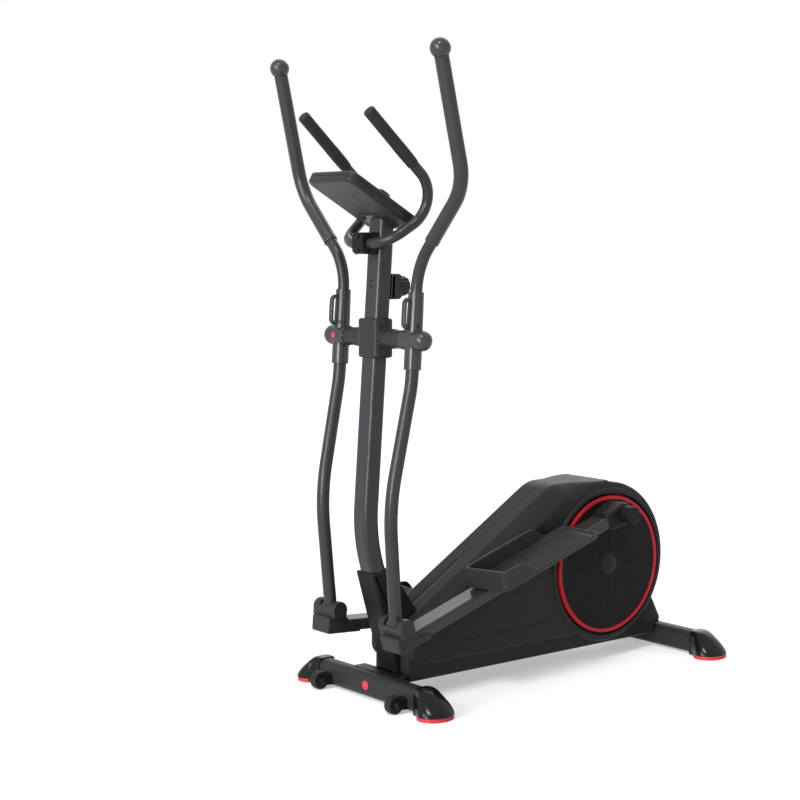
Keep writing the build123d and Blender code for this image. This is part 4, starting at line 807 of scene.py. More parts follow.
PAINT = Finish(
    "charcoal_paint", "frame_paint", grey(0.036, 1.14), grey(0.031, 1.14), 0.22, 0.28,
    metallic=0.1, texture=Texture.FLAKE, scale=2200.0, depth=0.05, mottle=0.22, specular=0.24,
)
COVER = Finish(
    "satin_black_cover", "cover_plastic", grey(0.02), grey(0.022), 0.38, 0.46,
    scale=1400.0, depth=0.08, mottle=0.12, specular=0.1,
)
# Painted shade: the base tubes get a darker, less glossy copy of the frame paint, standing in for the
# shadowed floor that they reflect.
SHADED_BASE_PAINT = Finish(
    "dark_base_paint", "frame_paint", grey(0.03, 1.1), grey(0.026, 1.1), 0.4, 0.46,
    metallic=0.1, texture=Texture.FLAKE, scale=2200.0, depth=0.05, mottle=0.22, specular=0.12,
)
DISC = Finish(
    "dull_black_disc", "cover_plastic", grey(0.0115, 1.02), grey(0.013, 1.02), 0.44, 0.52,
    scale=1400.0, depth=0.08, mottle=0.12, specular=0.06,
)
FRAME_BLACK = Finish(
    "black_frame_paint", "frame_paint", grey(0.008, 1.12), grey(0.01, 1.1), 0.38, 0.46,
    scale=1800.0, depth=0.05, mottle=0.15, specular=0.15,
)
BOOT = Finish(
    "dull_black_boot", "trim_plastic", grey(0.0085), grey(0.01), 0.38, 0.46,
    scale=1300.0, depth=0.1, mottle=0.12, specular=0.1,
)
TRIM = Finish(
    "grained_black_trim", "trim_plastic", grey(0.022), grey(0.026), 0.3, 0.38,
    scale=1300.0, depth=0.12, mottle=0.16, specular=0.18,
)
CONSOLE_GREY = Finish(
    "grained_grey_console", "console_plastic", grey(0.05, 1.08), (0.045, 0.045, 0.049), 0.46, 0.54,
    scale=1500.0, depth=0.14, mottle=0.14, specular=0.25,
)
PEDAL_GREY = Finish(
    "moulded_pedal", "pedal_plastic", grey(0.0185), grey(0.022), 0.46, 0.56,
    scale=1000.0, depth=0.18, mottle=0.18, specular=0.22,
)
RING_RED = Finish(
    "gloss_red_ring", "ring_plastic", (0.52, 0.018, 0.028), (0.46, 0.016, 0.025), 0.36, 0.42,
    scale=1800.0, depth=0.03, mottle=0.06, specular=0.15,
)
PAD_RED = Finish(
    "red_rubber_sole", "pad_rubber", (0.62, 0.036, 0.056), (0.55, 0.033, 0.05), 0.5, 0.6,
    scale=900.0, depth=0.16, mottle=0.1,
)
FOAM = Finish(
    "black_foam", "grip_foam", (0.018, 0.0182, 0.02), (0.023, 0.0232, 0.025), 0.6, 0.72,
    texture=Texture.FOAM, scale=900.0, depth=0.35, mottle=0.2, specular=0.2,
)
SHOE = Finish(
    "polished_black_shoe", "trim_plastic", grey(0.006, 1.1), grey(0.007, 1.1), 0.14, 0.18,
    scale=1500.0, depth=0.04, mottle=0.1, specular=0.2,
)
DOT_RED = Finish(
    "red_dot", "ring_plastic", (0.6, 0.03, 0.035), (0.54, 0.03, 0.03), 0.34, 0.42,
    scale=1600.0, depth=0.03, mottle=0.05,
)
CAP = Finish(
    "grey_hub_cap", "trim_plastic", grey(0.019, 1.15), grey(0.021, 1.15), 0.4, 0.48,
    scale=1400.0, depth=0.1, mottle=0.12, specular=0.1,
)
GRIP = Finish(
    "moulded_grip", "grip_foam", grey(0.03, 1.14), grey(0.026, 1.14), 0.24, 0.3,
    texture=Texture.FOAM, scale=1500.0, depth=0.1, mottle=0.1, specular=0.34,
)
HUB = Finish(
    "satin_hub_plastic", "trim_plastic", grey(0.034, 1.14), grey(0.03, 1.14), 0.2, 0.26,
    scale=1500.0, depth=0.06, mottle=0.1, specular=0.36,
)
BALL = Finish(
    "ball_plastic", "trim_plastic", grey(0.034, 1.14), grey(0.038, 1.14), 0.2, 0.26,
    scale=1500.0, depth=0.06, mottle=0.1, specular=0.4,
)
DISPLAY = Finish(
    "display_grey", "screen_glass", (0.2, 0.23, 0.2), (0.19, 0.22, 0.19), 0.22, 0.28,
    scale=2400.0, depth=0.01, mottle=0.03, coat=0.5,
)
HARD_BLACK = Finish(
    "hard_black_plastic", "wheel_plastic", grey(0.012, 1.08), grey(0.016), 0.38, 0.5,
    scale=1200.0, depth=0.08, mottle=0.12, specular=0.2,
)
BELT = Finish(
    "belt_rubber", "belt_rubber", grey(0.012, 1), grey(0.018, 1), 0.6, 0.72,
    scale=700.0, depth=0.2, mottle=0.15,
)
STEEL = Finish(
    "zinc_plated_steel", "bright_steel", grey(0.5, 1.02), (0.42, 0.42, 0.43), 0.26, 0.4,
    metallic=1.0, scale=1600.0, depth=0.05, mottle=0.1,
)
DARK_STEEL = Finish(
    "blackened_steel", "bright_steel", grey(0.012, 1.08), grey(0.016), 0.36, 0.46,
    metallic=0.1, scale=1600.0, depth=0.05, mottle=0.15, specular=0.2,
)
IRON = Finish(
    "turned_iron", "flywheel_iron", grey(0.2, 1.05), (0.16, 0.16, 0.165), 0.38, 0.5,
    metallic=1.0, scale=900.0, depth=0.1, mottle=0.15,
)
SCREEN = Finish(
    "screen_window", "screen_glass", (0.05, 0.056, 0.052), (0.055, 0.06, 0.057), 0.12, 0.18,
    scale=2000.0, depth=0.01, mottle=0.05, coat=0.6,
)
KEY_GREY = Finish(
    "soft_grey_key", "button_rubber", (0.16, 0.16, 0.165), (0.14, 0.14, 0.145), 0.55, 0.65,
    scale=1300.0, depth=0.12, mottle=0.1,
)
SLOT_FINISHES: dict[str, Finish] = {
    finish.slot: finish
    for finish in (
        PAINT, COVER, TRIM, CONSOLE_GREY, PEDAL_GREY, RING_RED, PAD_RED, FOAM, HARD_BLACK, BELT, STEEL,
        IRON, SCREEN, KEY_GREY,
    )
}


class Workshop:
    """Sets finished pieces on their bodies."""

    def __init__(self, frame: dict) -> None:
        """Keep the loaded frame and build the shared effects."""
        self.frame = frame
        self.effects = Effects()

    def settle(self, skin: Skin, name: str, finish: Finish, *nodes: str, body: str = "frame") -> Piece:
        """Build a piece and give it its finish and its body.

        Args:
            skin: Its skin.
            name: Its name.
            finish: Its finish.
            nodes: CAD nodes that it stands for.
            body: Body that it rides on.

        Returns:
            The piece.
        """
        piece = skin.build(name)
        self._dress(piece, finish)
        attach(piece, body)
        if nodes:
            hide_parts(*nodes)
        LOG.info("%s rides on %s, %d points", piece.name, body, len(piece.data.vertices))
        return piece

    def dress_nodes(self) -> None:
        """Give every CAD node the finish of its record slot."""
        slots = {row["node"]: row["material_slot"] for row in self.frame["record"]["subparts"]}
        for node, piece in self.frame["nodes"].items():
            self._dress(piece, SLOT_FINISHES[slots[node]])
            for face in piece.data.polygons:
                face.material_index = 0

    def _dress(self, piece: Piece, finish: Finish) -> None:
        """Give a piece one material."""
        piece.data.materials.clear()
        piece.data.materials.append(finish.material(self.effects))


@dataclass(frozen=True)
class Linkage:
    """Rest places of the moving pieces, worked out from the machine's lengths."""

    hub_y: float = 280.4
    hub_z: float = 261.0
    crank_radius: float = 144.0
    crank_angle: float = 94.1
    arm_pivot_y: float = -429.5
    arm_pivot_z: float = 885.0
    arm_length: float = 680.0
    link_length: float = 770.0
    pivot_rise: float = 41.0

    @property
    def run(self) -> float:
        """Length of a rail from below its front pivot to its crank pin."""
        return math.sqrt(self.link_length**2 - self.pivot_rise**2)

    def crank_pin(self, side: Side) -> Pair:
        """Crank pin in Y and Z; the right one is half a turn from the left one.

        Args:
            side: Side of the machine.

        Returns:
            Its middle.
        """
        angle = math.radians(self.crank_angle) + (0.0 if side is Side.LEFT else math.pi)
        radius = self.crank_radius
        return self.hub_y + radius * math.cos(angle), self.hub_z + radius * math.sin(angle)

    def lower_pivot(self, side: Side) -> Pair:
        """Front crossing of the arm's circle about its pivot with the rail's circle about its pin.

        Args:
            side: Side of the machine.

        Returns:
            The crossing in Y and Z.
        """
        pin_y, pin_z = self.crank_pin(side)
        reach_y, reach_z = pin_y - self.arm_pivot_y, pin_z - self.arm_pivot_z
        reach = math.hypot(reach_y, reach_z)
        along = (self.arm_length**2 - self.link_length**2 + reach**2) / (2 * reach)
        across = math.sqrt(self.arm_length**2 - along**2)
        mid_y = self.arm_pivot_y + along * reach_y / reach
        mid_z = self.arm_pivot_z + along * reach_z / reach
        first = (mid_y + across * reach_z / reach, mid_z - across * reach_y / reach)
        second = (mid_y - across * reach_z / reach, mid_z + across * reach_y / reach)
        return min(first, second)

    def rail(self, side: Side) -> Place:
        """Axes of a rail: back along it, up from it, and out to its side.

        Args:
            side: Side of the machine.

        Returns:
            The place of the rail.
        """
        pivot_y, pivot_z = self.lower_pivot(side)
        pin_y, pin_z = self.crank_pin(side)
        slope = math.atan2(pin_z - pivot_z, pin_y - pivot_y) + math.asin(self.pivot_rise / self.link_length)
        sine, cosine = math.sin(slope), math.cos(slope)
        start = (0.0, pivot_y + self.pivot_rise * sine, pivot_z - self.pivot_rise * cosine)
        return Place(start, (0, cosine, sine), (0, -sine, cosine), (side.value, 0, 0))

    def arm(self, side: Side) -> Place:
        """Axes of a swing arm: forward from it, up along it, and out to its side.

        Args:
            side: Side of the machine.

        Returns:
            The place of the arm.
        """
        pivot_y, pivot_z = self.lower_pivot(side)
        swing = math.atan2(pivot_y - self.arm_pivot_y, self.arm_pivot_z - pivot_z)
        sine, cosine = math.sin(swing), math.cos(swing)
        start = (0.0, self.arm_pivot_y, self.arm_pivot_z)
        return Place(start, (0, -cosine, -sine), (0, -sine, cosine), (side.value, 0, 0))


def round_pin(length: float, radius: float, edge: float, start: float = 0.0) -> list[Pair]:
    """Profile of a pin with round edges at both ends.

    Each edge is a quarter circle: the radius less edge (1 - cos a), edge (1 - sin a) from the end.

    Args:
        length: Length of the pin.
        radius: Its radius.
        edge: Radius of its edges.
        start: Where it starts.

    Returns:
        Rows of height and radius.
    """
    angle = np.linspace(0, QUARTER_TURN, ROUND_STEPS)
    tail = [(start + edge * (1 - math.sin(a)), radius - edge * (1 - math.cos(a))) for a in angle[::-1]]
    head = [(start + length - edge * (1 - math.sin(a)), radius - edge * (1 - math.cos(a))) for a in angle]
    return tail + head


@dataclass
class Base:
    """Two stabilizer tubes with their shoes, soles and transport wheels."""

    shop: Workshop
    front_y: float = -443.0
    rear_y: float = 521.0
    tube_half: float = 209.0
    tube_depth: float = 46.0
    tube_height: float = 60.0
    tube_corner: float = 17.0
    tube_z: float = 34.0
    shoe_inner: float = 188.0
    shoe_outer: float = 280.0
    shoe_half: float = 49.4
    sole_x: float = 239.0
    sole_half_width: float = 40.0
    sole_half_depth: float = 47.5
    sole_height: float = 10.0
    sole_cut: float = 216.0
    tread_low: float = 5.2
    tread_high: float = 6.2
    tread_depth: float = 0.8
    tread_overlap: float = 0.2
    wheel_x: float = 149.0
    wheel_reach: float = 30.0
    wheel_z: float = 23.5
    wheel_half: float = 11.0
    fork_radius: float = 12.0
    fork_plate: float = 3.0
    fork_gap: float = 0.5
    fork_flare: float = 2.0
    fork_root: float = 5.0
    dot_radius: float = 11.5
    dot_thickness: float = 1.3
    dot_sunk: float = 0.6
    dot_z: float = 35.0

    def build(self) -> None:
        """Build and dress every piece of the base."""
        self._tube("front", self.front_y)
        self._tube("rear", self.rear_y)
        self._shoes()
        self._soles()
        self._dot()
        for side in Side:
            self._wheel(side)

    @property
    def wheel_y(self) -> float:
        """Middle of the wheels in front of the front tube."""
        return self.front_y - self.tube_depth / 2 - self.wheel_reach

    def _tube(self, word: str, y: float) -> None:
        """One stabilizer tube; the front one carries the wheel forks.

        Args:
            word: Which end of the machine it is at.
            y: Its middle along Y.
        """
        outline = rounded_rectangle(self.tube_depth, self.tube_height, self.tube_corner, 1.2)
        place = side_place(1, y, self.tube_z)
        skin = Skin().prism(outline, -self.tube_half, self.tube_half, place, 1.0, 1.0)
        # The stabilizer tubes wear the painted-shade copy of the frame paint, darker and duller than the
        # mast.
        self.shop.settle(skin, f"{word}_tube", SHADED_BASE_PAINT, f"{word}_stabilizer")
        if word == "front":
            self._forks()

    def _forks(self) -> None:
        """Four round-nosed plates that hold the wheels."""
        angle = np.linspace(QUARTER_TURN, 3 * QUARTER_TURN, 19)
        root, flare = self.wheel_reach + self.fork_root, self.fork_radius + self.fork_flare
        tongue = np.concatenate([circle(angle) * self.fork_radius, [[root, -flare], [root, flare]]])
        place = side_place(1, self.wheel_y, self.wheel_z)
        near = self.wheel_half + self.fork_gap
        skin = Skin()
        for centre in (-self.wheel_x, self.wheel_x):
            for low in (centre + near, centre - near - self.fork_plate):
                skin.prism(tongue, low, low + self.fork_plate, place, 0.7, 0.7)
        self.shop.settle(skin, "wheel_forks", FRAME_BLACK, "front_stabilizer")

    def _shoes(self) -> None:
        """Four moulded shoes.

        Rows run out along X. Each row is an arch of half width w and height h above a flat foot: w
        times the signed power 2/p of the cosine, and h times that power of the sine. The stations
        give X, the top and p, which splines join; beyond the middle of the sole w follows an
        ellipse, so that the boxy socket turns into a round toe.
        """
        stations = np.array([
            (188.0, 66.6, 7.0), (197.0, 67.4, 7.0), (208.0, 67.4, 5.0), (220.0, 64.6, 2.9),
            (230.0, 59.6, 2.2), (240.0, 53.0, 1.95), (250.0, 45.4, 1.85), (260.0, 36.4, 1.8),
            (270.0, 26.4, 1.85), (276.0, 19.4, 2.0), (280.0, 14.0, 2.4),
        ])
        knots = stations[:, 0]
        flares = [25.8, 27.0, 31.8, 40.8, 46.9, self.shoe_half]
        turn = np.linspace(0, QUARTER_TURN * 0.975, 34)
        reach = self.shoe_outer - self.sole_x
        socket = np.linspace(self.shoe_inner, self.sole_x, 30)[:-1]
        x = np.concatenate([socket, self.sole_x + reach * np.sin(turn)])
        flare = spline(knots[: len(flares)], flares, socket)
        width = np.concatenate([flare, self.shoe_half * np.cos(turn)])
        top, power = spline(knots, stations[:, 1:], x).T
        step = [self.shoe_inner, self.sole_cut - 2, self.sole_cut + 1, self.shoe_outer]
        over_sole = self.sole_height + 0.05
        foot = np.interp(x, step, [2.4, 2.6, over_sole, over_sole])
        angle = np.linspace(0, math.pi, 57)
        share = 2.0 / power[:, None]
        across = width[:, None] * np.sign(np.cos(angle)) * np.abs(np.cos(angle)) ** share
        up = foot[:, None] + (top - foot)[:, None] * np.abs(np.sin(angle)) ** share
        skin = Skin()
        for y in (self.front_y, self.rear_y):
            for side in Side:
                out = np.broadcast_to(side.value * x[:, None], across.shape)
                skin.grid(np.stack([out, y + across, up], axis=-1))
        self.shop.settle(skin, "moulded_shoes", SHOE, "foot_caps")

    def _soles(self) -> None:
        """Four red oval soles, cut off short of the tube, with a tread groove along their edge."""
        limit = math.acos((self.sole_cut - self.sole_x) / self.sole_half_width)
        angle = np.linspace(-limit, limit, 64)
        ring = circle(angle)
        outline = ring * np.array([self.sole_half_width, self.sole_half_depth])
        inner = ring * (np.array([self.sole_half_width, self.sole_half_depth]) - self.tread_depth)
        low, high, over = self.tread_low, self.tread_high, self.tread_overlap
        skin = Skin()
        for y in (self.front_y, self.rear_y):
            for side in Side:
                place = Place((side.value * self.sole_x, y, 0), (side.value, 0, 0), (0, 1, 0), (0, 0, 1))
                skin.prism(outline, 0.0, low, place, 1.2, 0.6)
                skin.prism(inner, low - over, high + over, place)
                skin.prism(outline, high, self.sole_height, place, 0.6, 0.6)
        self.shop.settle(skin, "rubber_soles", PAD_RED, "foot_pads")

    def _dot(self) -> None:
        """Plain red dot in the middle of the front tube."""
        face = self.front_y - self.tube_depth / 2
        profile = round_pin(self.dot_thickness, self.dot_radius, 0.4)
        skin = Skin().revolve(profile, front_place(0, face + self.dot_sunk, self.dot_z))
        self.shop.settle(skin, "front_dot", DOT_RED)

    def _wheel(self, side: Side) -> None:
        """Transport wheel with a shallow tread groove and dished faces.

        Args:
            side: Side of the machine.
        """
        half = [
            (2.2, 21.8), (2.8, 22.5), (7.2, 22.5), (9.4, 21.8), (10.7, 20.0), (11.0, 17.8), (10.6, 16.8),
            (9.2, 16.2), (9.0, 10.2), (9.4, 9.6), (11.0, 9.2), (11.0, 4.3),
        ]
        profile = [(-height, radius) for height, radius in half[::-1]] + half
        place = side_place(1, self.wheel_y, self.wheel_z).moved(z=side.value * self.wheel_x)
        skin, body = Skin().revolve(profile, place), f"{side.word}_wheel"
        self.shop.settle(skin, f"{side.word}_roller", HARD_BLACK, f"{side.word}_transport_wheel", body=body)


@dataclass
class Weldment:
    """Frame under the covers: saddle plates, beam, post, crank shell and flywheel fork."""

    shop: Workshop
    linkage: Linkage
    plate_z: float = 60.5
    plate_top: float = 65.5
    plate_corner: float = 4.0
    plate_edge: float = 0.8
    front_half: float = 82.0
    front_start: float = 3.0
    front_end: float = 40.0
    neck_half: float = 34.0
    neck_start: float = 30.0
    neck_overlap: float = 10.0
    rear_half: float = 50.0
    rear_start: float = 476.0
    rear_end: float = 529.0
    beam: float = 50.0
    beam_corner: float = 4.0
    beam_front: float = -376.0
    beam_rear: float = 482.0
    post_depth: float = 44.0
    shell_half: float = 46.0
    shell_radius: float = 29.0
    flywheel_y: float = -10.0
    flywheel_z: float = 247.0
    fork_half: float = 26.0
    fork_rise: float = 20.0
    fork_plate: float = 5.0
    fork_x: Pair = (-39.0, 63.0)

    def build(self, base: Base) -> None:
        """Build the frame as one piece.

        Args:
            base: Base whose front tube places the front plates.
        """
        skin = Skin()
        tube_y = base.front_y
        plates = (
            (self.front_half, tube_y + self.front_start, tube_y + self.front_end),
            (self.neck_half, tube_y + self.neck_start, self.beam_front + self.neck_overlap),
            (self.rear_half, self.rear_start, self.rear_end),
        )
        for half, start, end in plates:
            plate = rounded_rectangle(2 * half, end - start, self.plate_corner, 2.0, 0, (start + end) / 2)
            skin.prism(plate, self.plate_z, self.plate_top, PLAN, self.plate_edge, self.plate_edge)
        middle = self.plate_top + self.beam / 2
        along = Place((0, 0, middle), (0, 0, 1), (1, 0, 0), (0, 1, 0))
        tube = rounded_rectangle(self.beam, self.beam, self.beam_corner, 1.5)
        skin.prism(tube, self.beam_front, self.beam_rear, along, 0.6, 0.6)
        hub = self.linkage
        post = rounded_rectangle(self.beam, self.post_depth, self.beam_corner, 1.5, 0, hub.hub_y)
        skin.prism(post, middle, hub.hub_z, PLAN)
        shell = round_pin(2 * self.shell_half, self.shell_radius, 1.0, -self.shell_half)
        skin.revolve(shell, side_place(1, hub.hub_y, hub.hub_z))
        near, far = self.flywheel_y - self.fork_half, self.flywheel_y + self.fork_half
        top = self.flywheel_z + self.fork_rise
        corners = [(near, middle), (far, middle), (far, top), (near, top)]
        fork = rounded_polygon(corners, [1, 1, 18, 18], 2.0)
        for low in self.fork_x:
            skin.prism(fork, low, low + self.fork_plate, side_place(), 0.6, 0.6)
        self.shop.settle(skin, "frame_weldment", FRAME_BLACK, "main_frame")


@dataclass
class Mast:
    """Bowed mast with the console's plate and the boot over its foot."""

    shop: Workshop
    width: float = 56.0
    depth: float = 44.0
    corner: float = 13.0
    foot: Pair = (-387.0, 131.0)
    knee: Pair = (-467.5, 406.0)
    top: Pair = (-410.5, 1200.0)
    knee_radius: float = 400.0
    plate_width: float = 92.0
    plate_length: float = 62.0
    plate_thickness: float = 4.0
    plate_along: float = 69.0
    screw_x: float = 36.0
    screw_y: float = 20.0
    face_screws: Pair = (1009.0, 1023.0)
    boot_half: float = 36.0
    boot_round: float = 6.5
    boot_top: float = 316.0
    boot_bottom: float = 48.0
    boot_rear: float = -332.0
    lip_wall: float = 3.5

    def build(self, console: "Console") -> None:
        """Build the mast up to the console's plate, the plate, its screws and the boot.

        Args:
            console: Console that the plate carries.
        """
        deck = console.place.moved(0, 0, -console.back_depth - self.plate_thickness)
        self._post(deck)
        self._plate(deck)
        self._boot()

    def line_y(self, z: float) -> float:
        """Middle of the straight upper mast at a height."""
        (knee_y, knee_z), (top_y, top_z) = self.knee, self.top
        return knee_y + (z - knee_z) * (top_y - knee_y) / (top_z - knee_z)

    def _post(self, deck: Place) -> None:
        """Swept tube whose last ring slides along the mast onto the plate's plane.

        Args:
            deck: Place of the console's plate.
        """
        corners = [(0, *self.foot), (0, *self.knee), (0, *self.top)]
        path = rounded_path(corners, [self.knee_radius], 8.0)[:-1]
        lift = np.array([0, *self.top]) - path[-1]
        upper = path[-1] + lift * np.linspace(0, 0.94, 24)[1:, None]
        path = np.concatenate([path, upper])
        section = rounded_rectangle(self.width, self.depth, self.corner, 1.5)
        points = sweep_points(path, section, (1, 0, 0))
        along = lift / np.linalg.norm(lift)
        normal = np.array(deck.z)
        gap = (points[-1] - np.array(deck.origin)) @ normal
        cut = points[-1] - (gap / (along @ normal))[:, None] * along
        skin = Skin().grid(np.concatenate([points, cut[None]]))
        self.shop.settle(skin, "mast_tube", PAINT, "mast")

    def _plate(self, deck: Place) -> None:
        """Plate under the console, with four screws, and two small screws on the mast's face.

        Args:
            deck: Place of the console's plate.
        """
        outline = rounded_rectangle(self.plate_width, self.plate_length, self.corner, 2.0)
        place = deck.moved(0, self.plate_along, 0)
        skin = Skin().prism(outline, 0, self.plate_thickness, place, 0.8, 0.8)
        self.shop.settle(skin, "console_plate", PAINT, "mast")
        screws = Skin()
        down = place.flipped()
        for x in (-self.screw_x, self.screw_x):
            for y in (-self.screw_y, self.screw_y):
                screws.bolt_head(down.moved(x, y, 0), 5.2, 3.0)
        for z in self.face_screws:
            face = self.line_y(z) - self.depth / 2
            screws.bolt_head(front_place(0, face + 0.6, z), 4.6, 2.2)
        self.shop.settle(screws, "plate_screws", DARK_STEEL, "mast")

    def _boot(self) -> None:
        """Plastic boot: a side outline carried across, with a lip round the mast."""
        top, bottom, rear = self.boot_top, self.boot_bottom, self.boot_rear
        corners = [(-469.0, top), (-391.0, bottom), (rear, bottom), (rear, 214.0), (-407.0, top)]
        outline = rounded_polygon(corners, [4, 3, 3, 24, 9], 1.5)
        half, edge = self.boot_half, self.boot_round
        skin = Skin().prism(outline, -half, half, side_place(), edge, edge)
        lean = math.atan2(self.knee[0] - self.foot[0], self.knee[1] - self.foot[1])
        middle = self.foot[0] + (top - self.foot[1]) * math.tan(lean)
        sine, cosine = math.sin(lean), math.cos(lean)
        place = Place((0, middle, top), (1, 0, 0), (0, cosine, -sine), (0, sine, cosine))
        wall = 2 * self.lip_wall
        lip = rounded_rectangle(self.width + wall, self.depth + wall, self.corner + 2, 1.5)
        skin.prism(lip, -12.0, 1.6, place, 0.0, 1.6)
        self.shop.settle(skin, "boot_shell", BOOT, "mast_boot")


@dataclass
class Housing:
    """Two side covers with the wedge, the drum round the disc, the plinth and the rear leg."""

    shop: Workshop
    linkage: Linkage
    half_width: float = 88.0
    front_y: float = -384.0
    step_z: float = 84.0
    front_top_z: float = 180.3
    kink: Pair = (110.0, 483.0)
    kink_radius: float = 90.0
    top_end: Pair = (285.0, 485.0)
    drum_radius: float = 214.0
    drum_lift: float = 5.0
    shoulder: float = 38.0
    shoulder_span: float = 44.0
    soft_edge: float = 9.0
    rim_radius: float = 203.0
    opening_radius: float = 190.0
    rim_face: float = 93.0
    opening_floor: float = 78.6
    opening_lip: float = 15.0
    plinth_half: float = 66.0
    plinth_z: float = 40.0
    plinth_edge: float = 7.0
    leg_y: float = 512.0
    leg_front: float = 492.0
    leg_z: float = 71.0
    wall: float = 2.5
    columns: int = 520

    def build(self) -> None:
        """Build both covers with their plinths, trim lines and screws."""
        for side in Side:
            self._shell(side)
            self._plinth(side)
        self._trim()
        self._screws()

    def _wedge(self, shoulder: float, front: float, bottom: float) -> Array:
        """Wedge outline, drawn in.

        Args:
            shoulder: How far it draws in on top.
            front: How far in front.
            bottom: How far below.

        Returns:
            Flat outline in Y and Z.
        """
        rise = math.atan2(self.kink[1] - self.front_top_z, self.kink[0] - self.front_y)
        drop = shoulder / math.cos(rise)
        front_y = self.front_y + front
        front_z = self.front_top_z + front * math.tan(rise) - drop
        top_z = self.top_end[1] - shoulder
        kink_y = front_y + (top_z - front_z) / math.tan(rise)
        side_y = self.linkage.hub_y + self.drum_radius / 2
        side_z = self.linkage.hub_z + self.drum_radius / 2
        low_z = self.step_z + bottom
        corners = [
            (front_y, low_z), (side_y, low_z), (side_y, side_z), (self.top_end[0], top_z), (kink_y, top_z),
            (front_y, front_z),
        ]
        return rounded_polygon(corners, [26, 2, 2, 2, self.kink_radius, 14], 3.0)

    def _reach(
        self,
        angle: Array,
        blend: float,
        shoulder: float = 0.0,
        front: float = 0.0,
        bottom: float = 0.0,
        edge: float = 0.0,
    ) -> Array:
        """Distance from the hub to the outline: the greater of wedge and drum, eased where they meet.

        For two distances a and b the eased one is half of a + b + the root of (a - b) squared plus
        the blend squared, less a quarter of the blend.

        Args:
            angle: Directions from the hub.
            blend: Width over which the two are eased.
            shoulder: How far the wedge draws in on top.
            front: How far in front.
            bottom: How far below.
            edge: How far the drum draws in.

        Returns:
            One distance for each direction.
        """
        centre = (self.linkage.hub_y, self.linkage.hub_z)
        wedge = radius_at(self._wedge(shoulder, front, bottom), centre, angle)
        radius = self.drum_radius - edge
        drum = self.drum_lift * np.sin(angle) + np.sqrt(radius**2 - (self.drum_lift * np.cos(angle)) ** 2)
        return 0.5 * (wedge + drum + np.sqrt((wedge - drum) ** 2 + blend**2)) - 0.25 * blend

    def _rays(self) -> Array:
        """Directions from the hub that space the columns evenly round the outline.

        Returns:
            One angle for each column.
        """
        sweep = np.linspace(-math.pi, math.pi, 6000, endpoint=False)
        reach = self._reach(sweep, 2.0)
        ring = circle(sweep) * reach[:, None]
        even = spaced(ring, self.columns)
        return np.arctan2(even[:, 1], even[:, 0])

    def _shell(self, side: Side) -> None:
        """One cover as rows round the hub.

        Rows start at the seam, run out flat, cross the shoulder on a superellipse whose power and
        width change from the bevelled wedge to the round drum, close in over the side face to the
        rim, and go down into the disc's opening.

        Args:
            side: Side of the machine.
        """
        angle = self._rays()
        outer = self._reach(angle, 2.0)
        inner = self._reach(angle, 16.0, self.shoulder, self.soft_edge, 7.0, self.soft_edge)
        inner = np.minimum(inner, outer - self.soft_edge + 2.5)
        ray = circle(angle)
        normal = outline_normals(ray * outer[:, None])
        true_inset = (outer - inner) * np.abs(np.sum(normal * ray, axis=1))
        share = smoothstep((true_inset - self.soft_edge) / (self.shoulder - self.soft_edge))
        span = self.soft_edge + share * (self.shoulder_span - self.soft_edge)
        power = 2.0 - 0.72 * share
        rows = [(0.1, outer - 0.9), (0.9, outer)]
        rows += [(0.9 + (self.half_width - span - 0.9) * step, outer) for step in (0.35, 0.7, 0.94)]
        for turn in np.linspace(0, QUARTER_TURN, 15):
            draw = 1 - np.cos(turn) ** (2 / power)
            climb = np.sin(turn) ** (2 / power)
            rows.append((self.half_width - span * (1 - climb), outer + (inner - outer) * draw))
        rim_foot = np.minimum(self.rim_radius + 3.0, inner - 0.8)
        rows += [(self.half_width, inner + (rim_foot - inner) * step) for step in np.linspace(0, 1, 22)[1:]]
        lip = np.minimum(self.rim_radius, inner - 1.6)
        middle = self.opening_radius
        face, floor = self.rim_face, self.opening_floor
        rows += [(self.half_width + 0.8, lip + 1.2), (self.half_width + 2.2, lip + 0.2)]
        rows += [(face - 1.2, lip), (face - 0.3, lip - 0.7), (face, lip - 2.0)]
        rows += [(face, middle + 2.2), (face - 0.5, middle + 0.7), (face - 1.8, middle)]
        rows += [(floor, middle), (floor, middle - 1.0), (floor, middle - self.opening_lip)]
        level = np.stack([np.broadcast_to(height, angle.shape) for height, _ in rows])
        reach = np.stack([np.broadcast_to(distance, angle.shape) for _, distance in rows])
        flat = reach[..., None] * ray[None] + np.array([self.linkage.hub_y, self.linkage.hub_z])
        points = np.concatenate([side.value * level[..., None], flat], axis=-1)
        skin = Skin(weighted=False).grid(points, capped=False)
        piece = self.shop.settle(skin, f"{side.word}_shell", COVER, f"{side.word}_side_cover")
        wall = piece.modifiers.new("wall", "SOLIDIFY")
        wall.thickness = self.wall * MM
        wall.offset = -1.0

    def _plinth(self, side: Side) -> None:
        """Narrower foot of a cover, with room for the cranks, and its leg over the rear tube.

        Args:
            side: Side of the machine.
        """
        hub_y, hub_z = self.linkage.hub_y, self.linkage.hub_z
        low_leg = hub_z - self.drum_radius / 2
        corners = [
            (self.front_y, self.plinth_z), (self.leg_front, self.plinth_z), (self.leg_front, self.leg_z),
            (self.leg_y, self.leg_z), (self.leg_y, 84.0), (self.leg_y - self.shoulder, low_leg),
            (hub_y + 165.0, low_leg), (hub_y + 90.0, 80.0), (hub_y - 90.0, 80.0), (hub_y - 150.0, 120.0),
            (self.front_y, 120.0),
        ]
        outline = rounded_polygon(corners, [9, 8, 2, 8, 8, 20, 9, 9, 9, 9, 9], 2.0)
        skin = Skin().prism(outline, 0.1, self.plinth_half, side_place(side.value), 0.0, self.plinth_edge)
        self.shop.settle(skin, f"{side.word}_plinth", COVER, f"{side.word}_side_cover")

